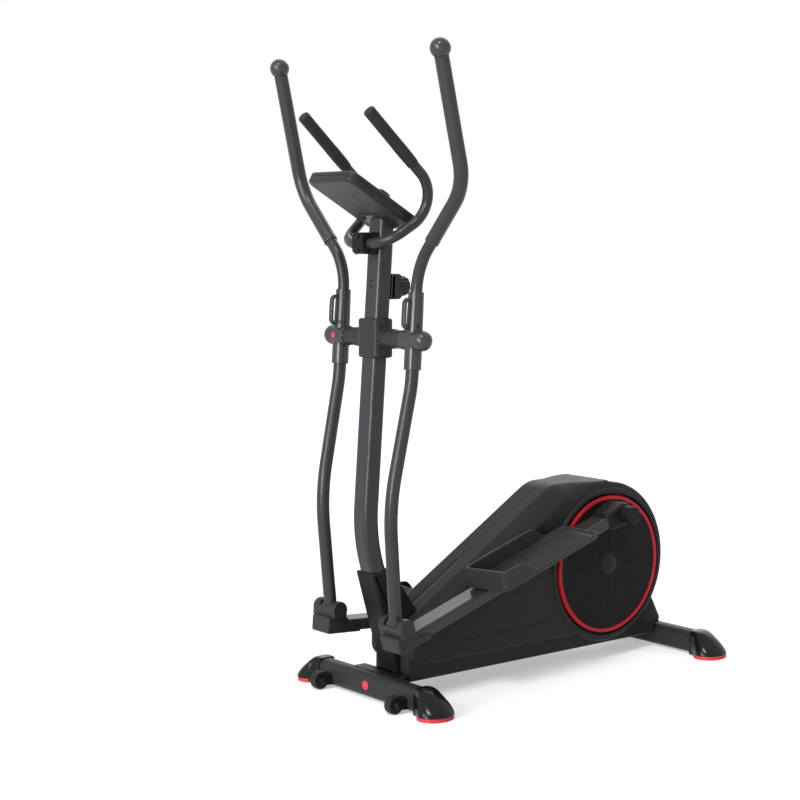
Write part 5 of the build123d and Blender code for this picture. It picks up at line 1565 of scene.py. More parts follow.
    def _trim(self) -> None:
        """Raised line along the lower side face, which bends down to the drum's rim."""
        corners = [(0, -300.0, 118.0), (0, -196.0, 126.0), (0, 96.0, 134.0), (0, 122.0, 112.0)]
        path = rounded_path(corners, [120, 30], 4.0)
        station = np.linspace(0, 1, len(path))
        ease = np.sqrt(smoothstep(station * 5)) * np.sqrt(smoothstep((1 - station) * 5))
        section = squircle(2.2 * ease + 0.05, 1.0 * ease + 0.05, 2.4, 16)
        skin = Skin()
        for side in Side:
            placed = path + np.array([side.value * self.half_width, 0, 0])
            skin.sweep(placed, section[..., ::-1], (1, 0, 0))
        self.shop.settle(skin, "cover_trim_line", COVER, "left_side_cover", "right_side_cover")

    def _screws(self) -> None:
        """Four low screws on each cover."""
        skin = Skin()
        for side in Side:
            for x, y, z in (
                (self.half_width, -352.0, 150.0), (self.plinth_half, -305.0, 52.0),
                (self.plinth_half, 96.0, 52.0), (self.half_width, 165.0, 437.0),
            ):
                skin.bolt_head(side_place(side.value, y, z).moved(z=x - 0.6), 5.4, 1.5)
        self.shop.settle(skin, "cover_screw_heads", DARK_STEEL, "cover_screws")


@dataclass
class Crank:
    """Discs with their grooves, red rings and hub caps."""

    shop: Workshop
    linkage: Linkage
    radius: float = 183.0
    face_radius: float = 173.0
    back_x: float = 80.0
    step_x: float = 86.0
    face_x: float = 93.0
    ring_x: float = 95.0
    grooves: int = 8
    groove_width: float = 3.0
    groove_depth: float = 1.0
    groove_start: float = 38.0
    groove_end: float = 160.0
    cap_radius: float = 29.0
    cap_height: float = 5.0

    def build(self) -> None:
        """Build both discs, the rings and the caps."""
        rings, caps = Skin(), Skin()
        for side in Side:
            place = side_place(side.value, self.linkage.hub_y, self.linkage.hub_z)
            self._disc(side, place)
            rings.revolve(self._ring_profile(), place, 160)
            caps.revolve(self._cap_profile(), place)
        self.shop.settle(rings, "red_rings", RING_RED, "rim_rings", body="crank")
        self.shop.settle(caps, "crank_caps", CAP, "hub_caps", body="crank")

    def _disc(self, side: Side, place: Place) -> None:
        """Grooved disc as rows of rising radius.

        In each sector a few columns keep fixed distances d from the groove's middle line, at the
        groove's angle plus arcsin(d / r), and the rest divide what is left. A groove's depth eases
        out with the distance from its middle line and towards its two ends.

        Args:
            side: Side of the machine.
            place: Axes of the hub on that side.
        """
        spans = ((8, 36, 5), (37, 44, 8), (50, 152, 15), (156, 164, 9))
        edge_rows = [self.face_radius - 5.0, self.face_radius - 0.8, self.face_radius]
        radius = np.concatenate([np.linspace(*span) for span in spans] + [edge_rows])
        half = self.groove_width / 2
        offset = np.array([-3.2, -half - 0.3, -half + 0.5, 0.0, half - 0.5, half + 0.3, 3.2])
        sector = FULL_TURN / self.grooves
        near = np.arcsin(offset[None] / np.maximum(radius, 8)[:, None])
        rest = near[:, -1:] + (sector - 2 * near[:, -1:]) * np.linspace(0, 1, 10)[None, 1:-1]
        part = np.concatenate([near, rest], axis=1)
        angle = np.concatenate([part + sector * index for index in range(self.grooves)], axis=1)
        fall = smoothstep((half + 0.3 - np.abs(offset)) / 0.8)
        deep = np.tile(np.concatenate([fall, np.zeros(rest.shape[1])]), self.grooves)
        ends = smoothstep((radius - self.groove_start) / 5) * smoothstep((self.groove_end - radius) / 5)
        dish = 0.9 * smoothstep((radius - 30) / 20) * smoothstep((self.face_radius - radius) / 14)
        level = self.face_x - dish[:, None] - self.groove_depth * ends[:, None] * deep[None]
        level[-2:] -= np.array([[0.2], [1.0]])
        face = np.stack([radius[:, None] * np.cos(angle), radius[:, None] * np.sin(angle), level], axis=-1)
        edge = face[-1:].repeat(5, axis=0)
        rim = self.radius
        spread = np.array([self.face_radius, rim - 1.0, rim, rim, rim - 1.0]) / self.face_radius
        edge[..., :2] *= spread[:, None, None]
        step, back = self.step_x, self.back_x
        edge[..., 2] = np.array([step, step, step - 1, back + 1, back])[:, None]
        skin = Skin().grid(place.world(np.concatenate([face, edge])))
        self.shop.settle(skin, f"{side.word}_crank_disc", DISC, f"{side.word}_disc", body="crank")

    def _ring_profile(self) -> list[Pair]:
        """Red ring: a flat band with round edges, closed at its back."""
        low, high, face = self.face_radius + 0.2, self.radius, self.ring_x
        return [
            (self.step_x, low), (face - 1.4, low), (face - 0.4, low + 0.5), (face, low + 1.8),
            (face, high - 2.6), (face - 0.7, high - 0.8), (face - 2.4, high), (self.step_x, high),
        ]

    def _cap_profile(self) -> list[Pair]:
        """Hub cap: a low dome whose height falls with the square of the radius, over a round edge.

        Returns:
            Rows of height and radius.
        """
        start, width = self.face_x - 0.5, self.cap_radius
        share = np.linspace(0.95, 0.04, 14)
        dome = [(self.face_x + 0.9 + (self.cap_height - 0.9) * (1 - r * r), width * r) for r in share]
        return [(start, width), (self.face_x + 0.3, width), (self.face_x + 0.9, width - 0.6)] + dome


@dataclass
class SideAssembly:
    """What moves on one side of the machine."""

    shop: Workshop
    linkage: Linkage
    side: Side
    part: str = ""

    def settle(self, skin: Skin, name: str, finish: Finish, node: str) -> Piece:
        """Build one piece, named for its side.

        Args:
            skin: Its skin.
            name: Its name without the side.
            finish: Its finish.
            node: CAD node that it stands for, without the side.

        Returns:
            The piece, set on its body.
        """
        word = self.side.word
        body = f"{word}_{self.part}"
        return self.shop.settle(skin, f"{word}_{name}", finish, f"{word}_{node}", body=body)


@dataclass
class SwingArm(SideAssembly):
    """One swing arm: lower tube, plastic hub, upper tube, grip and ball caps."""

    part: str = "arm"
    x: float = 142.0
    foot_x: float = 129.7
    lower_radius: float = 16.0
    upper_radius: float = 14.3
    grip_radius: float = 17.0
    grip_x: float = 195.0
    eye_radius: float = 18.0
    eye_half: float = 16.7
    handle_ball: float = 24.0
    pivot_ball: float = 25.0
    pivot_ball_x: float = 172.0
    boss_radius: float = 25.0
    boss_near: float = 109.0
    boss_far: float = 163.5
    fin_height: float = 76.0
    fin_bar: float = 8.0
    fin_thickness: float = 13.0
    fin_forward: float = 22.0
    fin_up: float = 62.0
    dot_radius: float = 7.0
    dot_x: float = 143.0
    handle_end: Triple = (106.0, 654.0, 311.0)
    screw_up: float = 33.0
    screw_out: float = 19.4

    def build(self) -> None:
        """Build and dress the arm."""
        self.place = self.linkage.arm(self.side)
        self._lower()
        self._upper()
        self._hub()
        self._balls()
        self._details()

    def _lower(self) -> None:
        """Bowed lower tube and the eye at its foot."""
        foot = -self.linkage.arm_length
        corners = [(0, -30, self.x), (0, -105, self.x), (42, -394, 135.5), (0, foot, self.foot_x)]
        path = rounded_path(corners, [380, 520], 9.0)
        skin = Skin().tube(self.place.world(path), self.lower_radius, (1, 0, 0))
        eye = self.place.moved(0, foot, self.foot_x - self.eye_half)
        skin.revolve(round_pin(2 * self.eye_half, self.eye_radius, 1.5), eye)
        self.settle(skin, "bowed_tube", PAINT, "lower_arm")

    def _upper(self) -> None:
        """Flared upper tube with its moulded grip."""
        corners = [(0, 30, self.x), (0, 173, self.x), (17, 356, 313), self.handle_end]
        local = rounded_path(corners, [150, 130], 6.0)
        path = self.place.world(local)
        self.settle(Skin().tube(path, self.upper_radius, (0, 1, 0)), "flared_tube", PAINT, "upper_arm")
        whole = lengths(path)[-1]
        reach = np.linspace(0, whole, 900)
        start = float(reach[np.argmax(np.abs(read_path(path, reach)[:, 0]) >= self.grip_x)])
        rim = np.array([0.0, 0.1, 0.5, 1.4, 2.6, 4.0, 11.0, 12.0, 13.0])
        at = np.concatenate([start + rim, np.linspace(start + 16, whole - 18, 110)])
        width = np.full(len(at), self.grip_radius)
        width[: len(rim)] = self.grip_radius + np.array([-2.6, -1.4, -0.4, 0.3, 0.5, 0.5, 0.5, 0.35, 0.0])
        skin = Skin().tube(read_path(path, at), width, (0, 1, 0))
        grip = self.settle(skin, "moulded_grip", GRIP, "arm_grip")

    def _hub(self) -> None:
        """Tapered sleeve, pivot boss and the oblong loop in front."""
        sleeve = self.place.moved(z=self.x).about_y()
        profile = [
            (-70, 16.2), (-70, 20.0), (-69.6, 20.7), (-68.6, 21.0), (-40, 20.9), (0, 20.5), (40, 19.9),
            (80, 19.2), (112.8, 18.5), (113.7, 18.2), (114, 17.5), (114, 14.4),
        ]
        skin = Skin().revolve(profile, sleeve)
        boss = self.place.moved(z=self.boss_near)
        skin.revolve(round_pin(self.boss_far - self.boss_near, self.boss_radius, 2.5), boss)
        height = self.fin_height - self.fin_bar
        loop = rounded_rectangle(24.0, height, 11.9, 1.5, self.fin_forward, self.fin_up)
        local = np.concatenate([loop, np.full((len(loop), 1), self.x)], axis=1)
        bar = rounded_rectangle(self.fin_thickness, self.fin_bar, 3.2, 1.0)
        skin.sweep(self.place.world(local), bar, (1, 0, 0), closed=True)
        self.settle(skin, "hub_shell", HUB, "arm_hub")

    def _balls(self) -> None:
        """Ball on the handle's end and the rounded cap on the pivot."""
        first = math.asin((self.boss_far + 0.2 - self.pivot_ball_x) / self.pivot_ball)
        angle = np.linspace(first, QUARTER_TURN * NEAR_POLE, 30)
        cap = self.pivot_ball * circle(angle)[:, ::-1] + np.array([self.pivot_ball_x, 0.0])
        skin = Skin().revolve(cap, self.place)
        skin.ball(self.place.world(np.array(self.handle_end)), self.handle_ball)
        self.settle(skin, "ball_caps", BALL, "arm_balls")

    def _details(self) -> None:
        """Two small screws in the hub, and the right arm's red dot on the front of its boss."""
        if self.side is Side.RIGHT:
            self._dot()
        skin = Skin()
        axes = np.array([self.place.x, self.place.y, self.place.z])
        for forward, out in ((0.3, 0.954), (0.78, -0.626)):
            aim = forward * axes[0] + out * axes[2]
            seat = self.place.moved(self.screw_out * forward, self.screw_up, self.x + self.screw_out * out)
            flat = np.cross(axes[1], aim)
            skin.bolt_head(Place(seat.origin, tuple(flat), self.place.y, tuple(aim)), 4.6, 1.2)
        self.settle(skin, "hub_screws", DARK_STEEL, "arm_hub")

    def _dot(self) -> None:
        """Round dot bent over the boss: forward is the root of its radius squared less up squared."""
        share = np.array([1.0, 1.0, 0.97, 0.9, 0.7, 0.45, 0.2, 0.02])
        lift = np.array([-0.8, 0.1, 0.32, 0.42, 0.45, 0.45, 0.45, 0.45])
        angle = np.linspace(0, FULL_TURN, 40, endpoint=False)
        out = self.dot_x + self.dot_radius * share[:, None] * np.cos(angle)
        up = self.dot_radius * share[:, None] * np.sin(angle)
        forward = np.sqrt((self.boss_radius + lift[:, None]) ** 2 - up**2)
        skin = Skin().grid(self.place.world(np.stack([forward, up, out], axis=-1)))
        self.settle(skin, "hub_dot", DOT_RED, "arm_hub")


@dataclass
class PivotCover:
    """Two-part cover round the mast at the arms' pivot, with its stubs and collars."""

    shop: Workshop
    linkage: Linkage
    half_width: float = 39.0
    half_depth: float = 30.0
    height: float = 95.0
    round: float = 17.0
    edge: float = 6.5
    stub_radius: float = 24.0
    stub_x: float = 74.0
    collar_radius: float = 22.5
    collar_x: float = 108.0
    stub_start: float = 30.0
    overlap: float = 6.0
    seam: float = 0.5

    def build(self, mast: Mast) -> None:
        """Build both halves; the front one carries the stubs and collars.

        Args:
            mast: Mast that the cover goes round.
        """
        pivot_y, pivot_z = self.linkage.arm_pivot_y, self.linkage.arm_pivot_z
        middle = mast.line_y(pivot_z)
        low, high = pivot_z - self.height / 2, pivot_z + self.height / 2
        half = self.half_width
        for word, facing in (("front", -1), ("rear", 1)):
            near, far = pivot_y + facing * self.seam, middle + facing * self.half_depth
            corners = [(-half, near), (-half, far), (half, far), (half, near)]
            outline = rounded_polygon(corners, [1, self.round, self.round, 1], 1.5)
            skin = Skin().prism(outline, low, high, PLAN, self.edge, self.edge)
            if word == "front":
                for side in Side:
                    place = side_place(side.value, pivot_y, pivot_z)
                    start, inside = self.stub_start, self.stub_x - self.overlap
                    skin.revolve(round_pin(self.stub_x - start, self.stub_radius, 2.0, start), place)
                    skin.revolve(round_pin(self.collar_x - inside, self.collar_radius, 1.2, inside), place)
                    skin.revolve(round_pin(7.0, self.stub_radius + 3.0, 3.0, half - 3.0), place)
            self.shop.settle(skin, f"pivot_shell_{word}", TRIM, f"pivot_cover_{word}")


@dataclass
class FootRail(SideAssembly):
    """One foot rail: tube, front clevis, rear cover with its boss, pins and pedal tray."""

    part: str = "footrail"
    x: float = 130.0
    width: float = 60.0
    height: float = 30.0
    corner: float = 6.0
    front: float = 14.0
    end_gap: float = 14.0
    clevis_near: float = 95.0
    clevis_far: float = 165.0
    barrel_near: float = 88.0
    barrel_far: float = 176.0
    barrel_radius: float = 22.0
    ear_inner: float = 106.0
    ear_outer: float = 153.5
    slot_radius: float = 18.7
    slot_front: float = 156.0
    slot_back: float = 18.0
    cover_front: float = 66.0
    cover_near: float = 101.0
    cover_far: float = 164.0
    cover_half: float = 25.0
    cover_radius: float = 30.0
    cover_corner: float = 13.0
    cover_edge: float = 11.0
    cover_turn: float = 1.65
    boss_radius: float = 23.0
    boss_end: float = 186.0
    cap_end: float = 196.0
    pin_radius: float = 8.0
    pedal_front: float = 255.0
    pedal_length: float = 345.0
    pedal_near: float = 100.5
    pedal_far: float = 240.0
    pedal_lift: float = 21.0
    deck: float = 10.0
    wall_height: float = 51.0
    front_lean: float = 9.0
    front_slant: float = 16.0
    lip_height: float = 14.5
    pedal_corner: float = 18.0
    outer_rows: int = 6
    inner_run: float = 232.0
    outer_run: float = 58.0
    rib_pitch: float = 7.4
    rib_margin: float = 24.0
    bolt_pitch: float = 85.0
    seat_across: float = -40.0
    crank_pin_radius: float = 10.0
    crank_pin_near: float = 99.6
    crank_pin_length: float = 70.0

    def build(self) -> None:
        """Build and dress the rail."""
        self.place = self.linkage.rail(self.side)
        self._tube()
        self._clevis()
        self._end_cover()
        self._pedal()
        self._pins()

    def _tube(self) -> None:
        """Flat oblong tube."""
        outline = rounded_rectangle(self.height, self.width, self.corner, 1.0)
        place = self.place.moved(z=self.x).about_x()
        end = self.linkage.run - self.end_gap
        self.settle(Skin().prism(outline, self.front, end, place, 0.6, 0.6), "rail_tube", PAINT, "rail")

    def _clevis(self) -> None:
        """Block over the rail's front, a barrel across it with a slot for the arm, and two screws."""
        axis = np.array([0, self.linkage.pivot_rise])
        radius = self.barrel_radius
        corners = [(-31, -17.5), (72, -17.5), (72, -8), (37, 13), (26, 24), (-31, 24)]
        block = rounded_polygon(corners, [6, 3, 4, 6, 8, 7], 1.2)
        skin = Skin().prism(block, self.clevis_near, self.clevis_far, self.place, 5.0, 5.0)
        angle = np.linspace(-0.3, math.pi + 0.3, 49)
        ear = np.concatenate([circle(angle) * radius + axis, [[-20.0, 20.0], [20.0, 20.0]]])
        for low, high in ((self.barrel_near, self.ear_inner), (self.ear_outer, self.barrel_far)):
            skin.prism(ear, low, high, self.place, 3.6, 3.6)
        front, back = math.radians(self.slot_front), math.radians(self.slot_back)
        bowl = np.linspace(front, back + FULL_TURN, 61)
        ring = circle(bowl)
        fore, aft = np.split(ring[np.sin(bowl) > -0.5] * (radius - 0.4) + axis, 2)
        slot = ring[::-1] * self.slot_radius + axis
        cradle = np.concatenate([fore, [[-19.0, 20.0], [19.0, 20.0]], aft, slot])
        skin.prism(cradle, self.ear_inner - 4.0, self.ear_outer + 4.0, self.place)
        self.settle(skin, "clevis_block", TRIM, "rail_clevis")
        screws = Skin()
        for along, up in ((-19.0, -1.0), (38.0, 4.0)):
            screws.bolt_head(self.place.moved(along, up, self.clevis_far - 0.6), 4.6, 2.2)
        self.settle(screws, "clevis_screws", DARK_STEEL, "rail_clevis")

    def _end_cover(self) -> None:
        """Rounded cover over the rail's rear end, with a grooved boss."""
        run = self.linkage.run
        start = run - self.cover_front
        back, corner = self.cover_radius, self.cover_corner
        turn = self.cover_turn
        rounds = (
            (run, 0.0, back, np.linspace(-turn, turn, 45)),
            (start + corner, self.cover_half - corner, corner, np.linspace(turn, math.pi, 12)),
            (start + corner, corner - self.cover_half, corner, np.linspace(math.pi, FULL_TURN - turn, 12)),
        )
        outline = np.concatenate([
            radius * circle(angle) + np.array([along, up]) for along, up, radius, angle in rounds
        ])
        edge = self.cover_edge
        skin = Skin().prism(outline, self.cover_near, self.cover_far, self.place, edge, edge)
        wide, end = self.boss_radius, self.cap_end
        groove = [(-0.8, 0.0), (0.0, 0.5), (0.3, 1.6), (2.7, 1.6), (3.0, 0.5), (3.8, 0.0)]
        profile: list[Pair] = [(self.cover_far - 8, wide)]
        for begin in (self.cover_far + 9.5, self.boss_end):
            profile += [(begin + along, wide - depth) for along, depth in groove]
        profile += [(end - 3.4, wide), (end - 1.6, 22.3), (end - 0.5, 21.0), (end, 19.0), (end, 15.5)]
        profile += [(end - 0.8, 14.4), (end - 0.8, 1.0)]
        skin.revolve(profile, self.place.moved(run, 0, 0))
        self.settle(skin, "end_shell", BOOT, "rail_end_cover")

    def _tray(self) -> Place:
        """Axes of the tray: back along it, out across it and up from its floor.

        Returns:
            The place of the tray.
        """
        middle = (self.pedal_near + self.pedal_far) / 2
        spot = self.place.moved(self.pedal_front, self.pedal_lift, middle)
        return Place(spot.origin, spot.x, spot.z, spot.y)

    def _pedal(self) -> None:
        """Tray with a wall that is high in front and along the inside.

        Columns go round the tray's outline and rows over its wall, from the floor's underside to the
        deck: each row has an inset, a lift and a share of the wall's height. The height falls from
        full to the lip by a smoothstep along the tray, later on the inner side than on the outer
        one. The foot of the front wall stands forward by a lean, and the front slants back towards
        the outer side.
        """
        place = self._tray()
        wide = self.pedal_far - self.pedal_near
        outline = spaced(rounded_rectangle(self.pedal_length, wide, self.pedal_corner, 2.0), 260)
        normal = outline_normals(outline)
        along = outline[:, 0] + self.pedal_length / 2
        inner = 1 - smoothstep((along - self.inner_run) / 50)
        outer = 1 - smoothstep((along - self.outer_run) / 56)
        share = smoothstep((outline[:, 1] + 25) / 50)
        top = self.lip_height + (self.wall_height - self.lip_height) * (inner + (outer - inner) * share)
        rows = np.array([
            (11.0, 0.0, 0.0), (6.0, 0.0, 0.0), (4.2, 0.5, 0.0), (3.2, 2.2, 0.0), (2.6, 5.0, 0.0),
            (0.9, 0.0, 0.55), (0.15, -3.4, 1.0), (0.4, -1.7, 1.0), (1.2, -0.6, 1.0), (2.6, 0.0, 1.0),
            (5.4, 0.0, 1.0), (6.9, -0.7, 1.0), (7.8, -2.0, 1.0), (8.2, -3.8, 1.0), (9.0, 3.2, 0.0),
            (9.8, 1.2, 0.0), (11.4, 0.2, 0.0), (13.4, 0.0, 0.0),
        ])
        inset, add, part = rows.T
        below = np.arange(len(rows)) < self.outer_rows
        floor = np.where(below, 0.0, self.deck)
        level = floor[:, None] + part[:, None] * (top[None] - floor[:, None]) + add[:, None]
        flat = outline[None] - normal[None] * inset[:, None, None]
        flat[..., 0] += self.pedal_length / 2
        outside = np.where(below, 1.0 - part, 0.0)
        flat[..., 0] -= self.front_lean * outside[:, None] * smoothstep((60 - along) / 60)[None]
        flat[..., 0] += self.front_slant * (flat[..., 1] / wide + 0.5) * smoothstep(1.0 - along / 150)[None]
        skin = Skin().grid(place.world(np.concatenate([flat, level[..., None]], axis=-1)))
        self._ribs(skin, place)
        seat = rounded_rectangle(
            self.pedal_length - 60, self.width - 12, 4, 2.0, self.pedal_length / 2, self.seat_across
        )
        skin.prism(seat, -6.0, 1.0, place)
        self.settle(skin, "pedal_tray", PEDAL_GREY, "pedal")

    def _ribs(self, skin: Skin, place: Place) -> None:
        """Crossed ribs on the tray's deck.

        Args:
            skin: Skin of the tray.
            place: Axes of the tray.
        """
        wide = self.pedal_far - self.pedal_near
        start, end = self.rib_margin + self.front_slant, self.pedal_length - self.rib_margin
        rib = rounded_rectangle(3.4, 3.2, 1.2, 0.6)
        count = int((wide - 30) / self.rib_pitch / 2)
        for index in range(-count, count + 1):
            axis = place.moved(0, index * self.rib_pitch, self.deck).about_x()
            skin.prism(rib, start, end, axis, 1.0, 1.0)
        for along in np.arange(start + 2, end, self.rib_pitch):
            axis = place.moved(along, 0, self.deck).about_y()
            skin.prism(rib, 18 - wide / 2, wide / 2 - 18, axis, 1.0, 1.0)

    def _pins(self) -> None:
        """Pivot pin, crank pin and the three bolts that hold the tray."""
        skin = Skin()
        run, rise = self.linkage.run, self.linkage.pivot_rise
        pivot = round_pin(self.clevis_far - self.clevis_near, self.pin_radius, 0.8, self.clevis_near)
        skin.revolve(pivot, self.place.moved(0, rise, 0))
        crank = round_pin(self.crank_pin_length, self.crank_pin_radius, 0.8, self.crank_pin_near)
        skin.revolve(crank, self.place.moved(run, 0, 0))
        middle = self._tray().moved(self.pedal_length / 2, self.seat_across, self.deck - 0.5)
        for step in (-1, 0, 1):
            skin.bolt_head(middle.moved(step * self.bolt_pitch), 7.5, 3.4)
        self.settle(skin, "rail_bolts", DARK_STEEL, "rail_pins")


@dataclass
class Handlebar:
    """Fixed handlebar with foam grips and its clamp on the mast."""

    shop: Workshop
    radius: float = 12.7
    y: float = -466.0
    z: float = 1112.0
    straight_x: float = 85.0
    bend: Triple = (131.0, -327.5, 1210.0)
    tip: Triple = (128.0, -549.5, 1413.0)
    corner_radius: float = 66.0
    bend_radius: float = 79.0
    clamp_half: float = 21.0
    clamp_height: float = 52.0
    clamp_front: float = -488.7
    clamp_seam: float = 0.8
    clamp_bolts: float = 19.0
    grip_past: float = 4.0

    def build(self, mast: Mast) -> None:
        """Build the bar, both grips and the clamp.

        Args:
            mast: Mast that the clamp holds on to.
        """
        half = [self.tip, self.bend, (self.straight_x, self.y, self.z)]
        corners = half + [(-x, y, z) for x, y, z in half[::-1]]
        radii = [self.bend_radius, self.corner_radius, self.corner_radius, self.bend_radius]
        path = rounded_path(corners, radii, 4.0)
        skin = Skin().tube(path, self.radius, (0, 0.3, 0.95))
        self.shop.settle(skin, "bar_tube", PAINT, "fixed_handlebar")
        self._grips()
        self._clamp(mast)

    def _grips(self) -> None:
        """Foam sleeves as rows of length and radius, with a swell for the hand and closed ends."""
        first = np.array([(0, 9), (0.1, 12.2), (0.6, 13.5), (1.6, 14.1), (3.2, 14.4), (6, 14.5)])
        swell = np.array([
            (6, 14.5), (20, 14.5), (45, 14.5), (70, 14.5), (90, 14.5), (105, 14.6), (118, 14.8),
            (130, 14.9), (145, 14.8), (160, 14.5), (170, 14.1),
        ])
        last = np.array([(174.5, 13.9), (176.8, 13.6), (177.9, 13.1), (178, 12.8)])
        even = np.linspace(8, 170, 60)
        fine = np.concatenate([first[:, 0], even, last[:, 0]])
        width = np.concatenate([first[:, 1], spline(swell[:, 0], swell[:, 1], even), last[:, 1]])
        skin = Skin()
        for side in Side:
            tip = np.array([side.value * self.tip[0], *self.tip[1:]])
            bend = np.array([side.value * self.bend[0], *self.bend[1:]])
            out = (tip - bend) / np.linalg.norm(tip - bend)
            skin.tube(tip + out * self.grip_past - out * fine[:, None], width, (1, 0, 0))
        grips = self.shop.settle(skin, "foam_sleeves", FOAM, "fixed_grips")

    def _clamp(self, mast: Mast) -> None:
        """Front jaw and rear saddle, parted along the middle of the bar.

        Args:
            mast: Mast that the saddle rests on.
        """
        low, high = self.z - self.clamp_height / 2, self.z + self.clamp_height / 2
        lean = (mast.line_y(high) - mast.line_y(low)) / 2
        back = mast.line_y(self.z) - mast.depth / 2
        front, fore, aft = self.clamp_front, self.y - self.clamp_seam, self.y + self.clamp_seam
        nose = [(front, low + 2), (fore, low), (fore, high), (front, high - 2)]
        jaw = rounded_polygon(nose, [11, 1.5, 1.5, 11], 1.2)
        corners = [(aft, low), (back - lean + 3, low), (back + lean + 3, high), (aft, high)]
        saddle = rounded_polygon(corners, [1.5, 1, 1, 1.5], 1.2)
        skin = Skin().prism(jaw, -self.clamp_half, self.clamp_half, side_place(), 3.0, 3.0)
        skin.prism(saddle, -self.clamp_half, self.clamp_half, side_place(), 2.0, 2.0)
        self.shop.settle(skin, "bar_clamp", BOOT, "handlebar_clamp")


@dataclass
class Console:
    """Console: back shell, front shell with a hump, window and three keys."""

    shop: Workshop
    centre: Triple = (0.0, -470.5, 1214.0)
    tilt: float = 29.6
    width: float = 178.0
    length: float = 231.0
    corner: float = 24.0
    back_depth: float = 16.0
    front_depth: float = 12.0
    hump_width: float = 158.0
    hump_length: float = 40.0
    hump_height: float = 12.0
    hump_along: float = 2.0
    hump_corner: float = 15.0
    screen_width: float = 104.0
    screen_length: float = 62.0
    screen_along: float = -60.0
    key_pitch: float = 44.0
    key_width: float = 30.0
    key_length: float = 14.0
    key_along: float = 54.0
    key_stand: float = 3.0

    @property
    def place(self) -> Place:
        """Axes of the console: across it, down its slope towards the user, and out of its face.

        Returns:
            The place of the console.
        """
        tilt = math.radians(self.tilt)
        sine, cosine = math.sin(tilt), math.cos(tilt)
        return Place(self.centre, (1, 0, 0), (0, cosine, -sine), (0, sine, cosine))

    def build(self) -> None:
        """Build both shells, the window and the keys."""
        self._back()
        self._front()
        self._window()
        for index, word in enumerate(("mode", "set", "reset")):
            self._key(word, (index - 1) * self.key_pitch)

    def _back(self) -> None:
        """Back shell: dark rim, grey inset panel, and on it a slot, a raised patch and screw wells."""
        outline = rounded_rectangle(self.width, self.length, self.corner, 2.0)
        rim = Skin().prism(outline, -self.back_depth + 1.2, -0.7, self.place, 7.0, 0.6)
        seam = rounded_rectangle(self.width - 3, self.length - 3, self.corner - 1.5, 2.0)
        rim.prism(seam, -1.6, 1.6, self.place)
        under = self.place.flipped()
        slot = rounded_rectangle(20, 6, 2.8, 1.0, 4.0, 62.0)
        rim.prism(slot, self.back_depth - 2, self.back_depth + 0.35, under, 0.0, 0.3)
        for x in (-66.0, 66.0):
            for y in (-84.0, 92.0):
                rim.bolt_head(under.moved(x, y, self.back_depth - 0.8), 4.2, 1.4)
        self.shop.settle(rim, "console_back_rim", TRIM, "console_back")
        panel = rounded_rectangle(self.width - 16, self.length - 16, self.corner - 7, 2.0)
        face = Skin().prism(panel, -self.back_depth, -2.0, self.place, 1.0, 0.0)
        patch = rounded_rectangle(34, 16, 2.0, 1.0, 12.0, 40.0)
        face.prism(patch, self.back_depth - 1, self.back_depth + 0.8, under, 0.0, 0.6)
        self.shop.settle(face, "console_back_panel", CONSOLE_GREY, "console_back")

    def _front(self) -> None:
        """Front shell with the soft hump across its middle and a frame round the window."""
        outline = rounded_rectangle(self.width, self.length, self.corner, 2.0)
        skin = Skin().prism(outline, 0.7, self.front_depth, self.place, 0.6, 5.0)
        deep, along = self.front_depth, self.screen_along
        wide, long, corner = self.hump_width, self.hump_length, self.hump_corner
        hump = rounded_rectangle(wide, long, corner, 2.0, 0, self.hump_along)
        skin.prism(hump, deep - 1, deep + self.hump_height, self.place, 0.0, 10.0)
        frame = rounded_rectangle(self.screen_width + 9, self.screen_length + 9, 7, 2.0, 0, along)
        ring = np.concatenate([frame, np.full((len(frame), 1), deep - 0.4)], axis=1)
        skin.sweep(self.place.world(ring), rounded_rectangle(3.4, 4.6, 1.6, 0.8), self.place.z, closed=True)
        self.shop.settle(skin, "console_front_shell", TRIM, "console_front")

    def _window(self) -> None:
        """Dark window with the plain display panel on it."""
        spot = self.place.moved(0, self.screen_along, self.front_depth)
        glass = rounded_rectangle(self.screen_width, self.screen_length, 4, 1.5)
        window = Skin().prism(glass, -2.0, 0.5, spot, 0.0, 0.4)
        self.shop.settle(window, "window_glass", SCREEN, "console_screen")
        panel = rounded_rectangle(self.screen_width - 18, self.screen_length - 18, 2.5, 1.5)
        display = Skin().prism(panel, -1.0, 0.62, spot, 0.0, 0.1)
        self.shop.settle(display, "display_panel", DISPLAY, "console_screen")

    def _key(self, word: str, x: float) -> None:
        """One soft key with a raised mark on its top.

        Args:
            word: Name of the key.
            x: Its middle along the first axis.
        """
        outline = rounded_rectangle(self.key_width, self.key_length, self.key_length / 3, 1.0)
        spot = self.place.moved(x, self.key_along, self.front_depth)
        skin = Skin().prism(outline, -6.0, self.key_stand, spot, 0.0, 1.4)
        mark = rounded_rectangle(12, 2.2, 1.0, 0.6)
        skin.prism(mark, 0.0, self.key_stand + 0.35, spot, 0.0, 0.3)
        self.shop.settle(skin, f"{word}_key_cap", KEY_GREY, f"{word}_button", body=f"{word}_key")


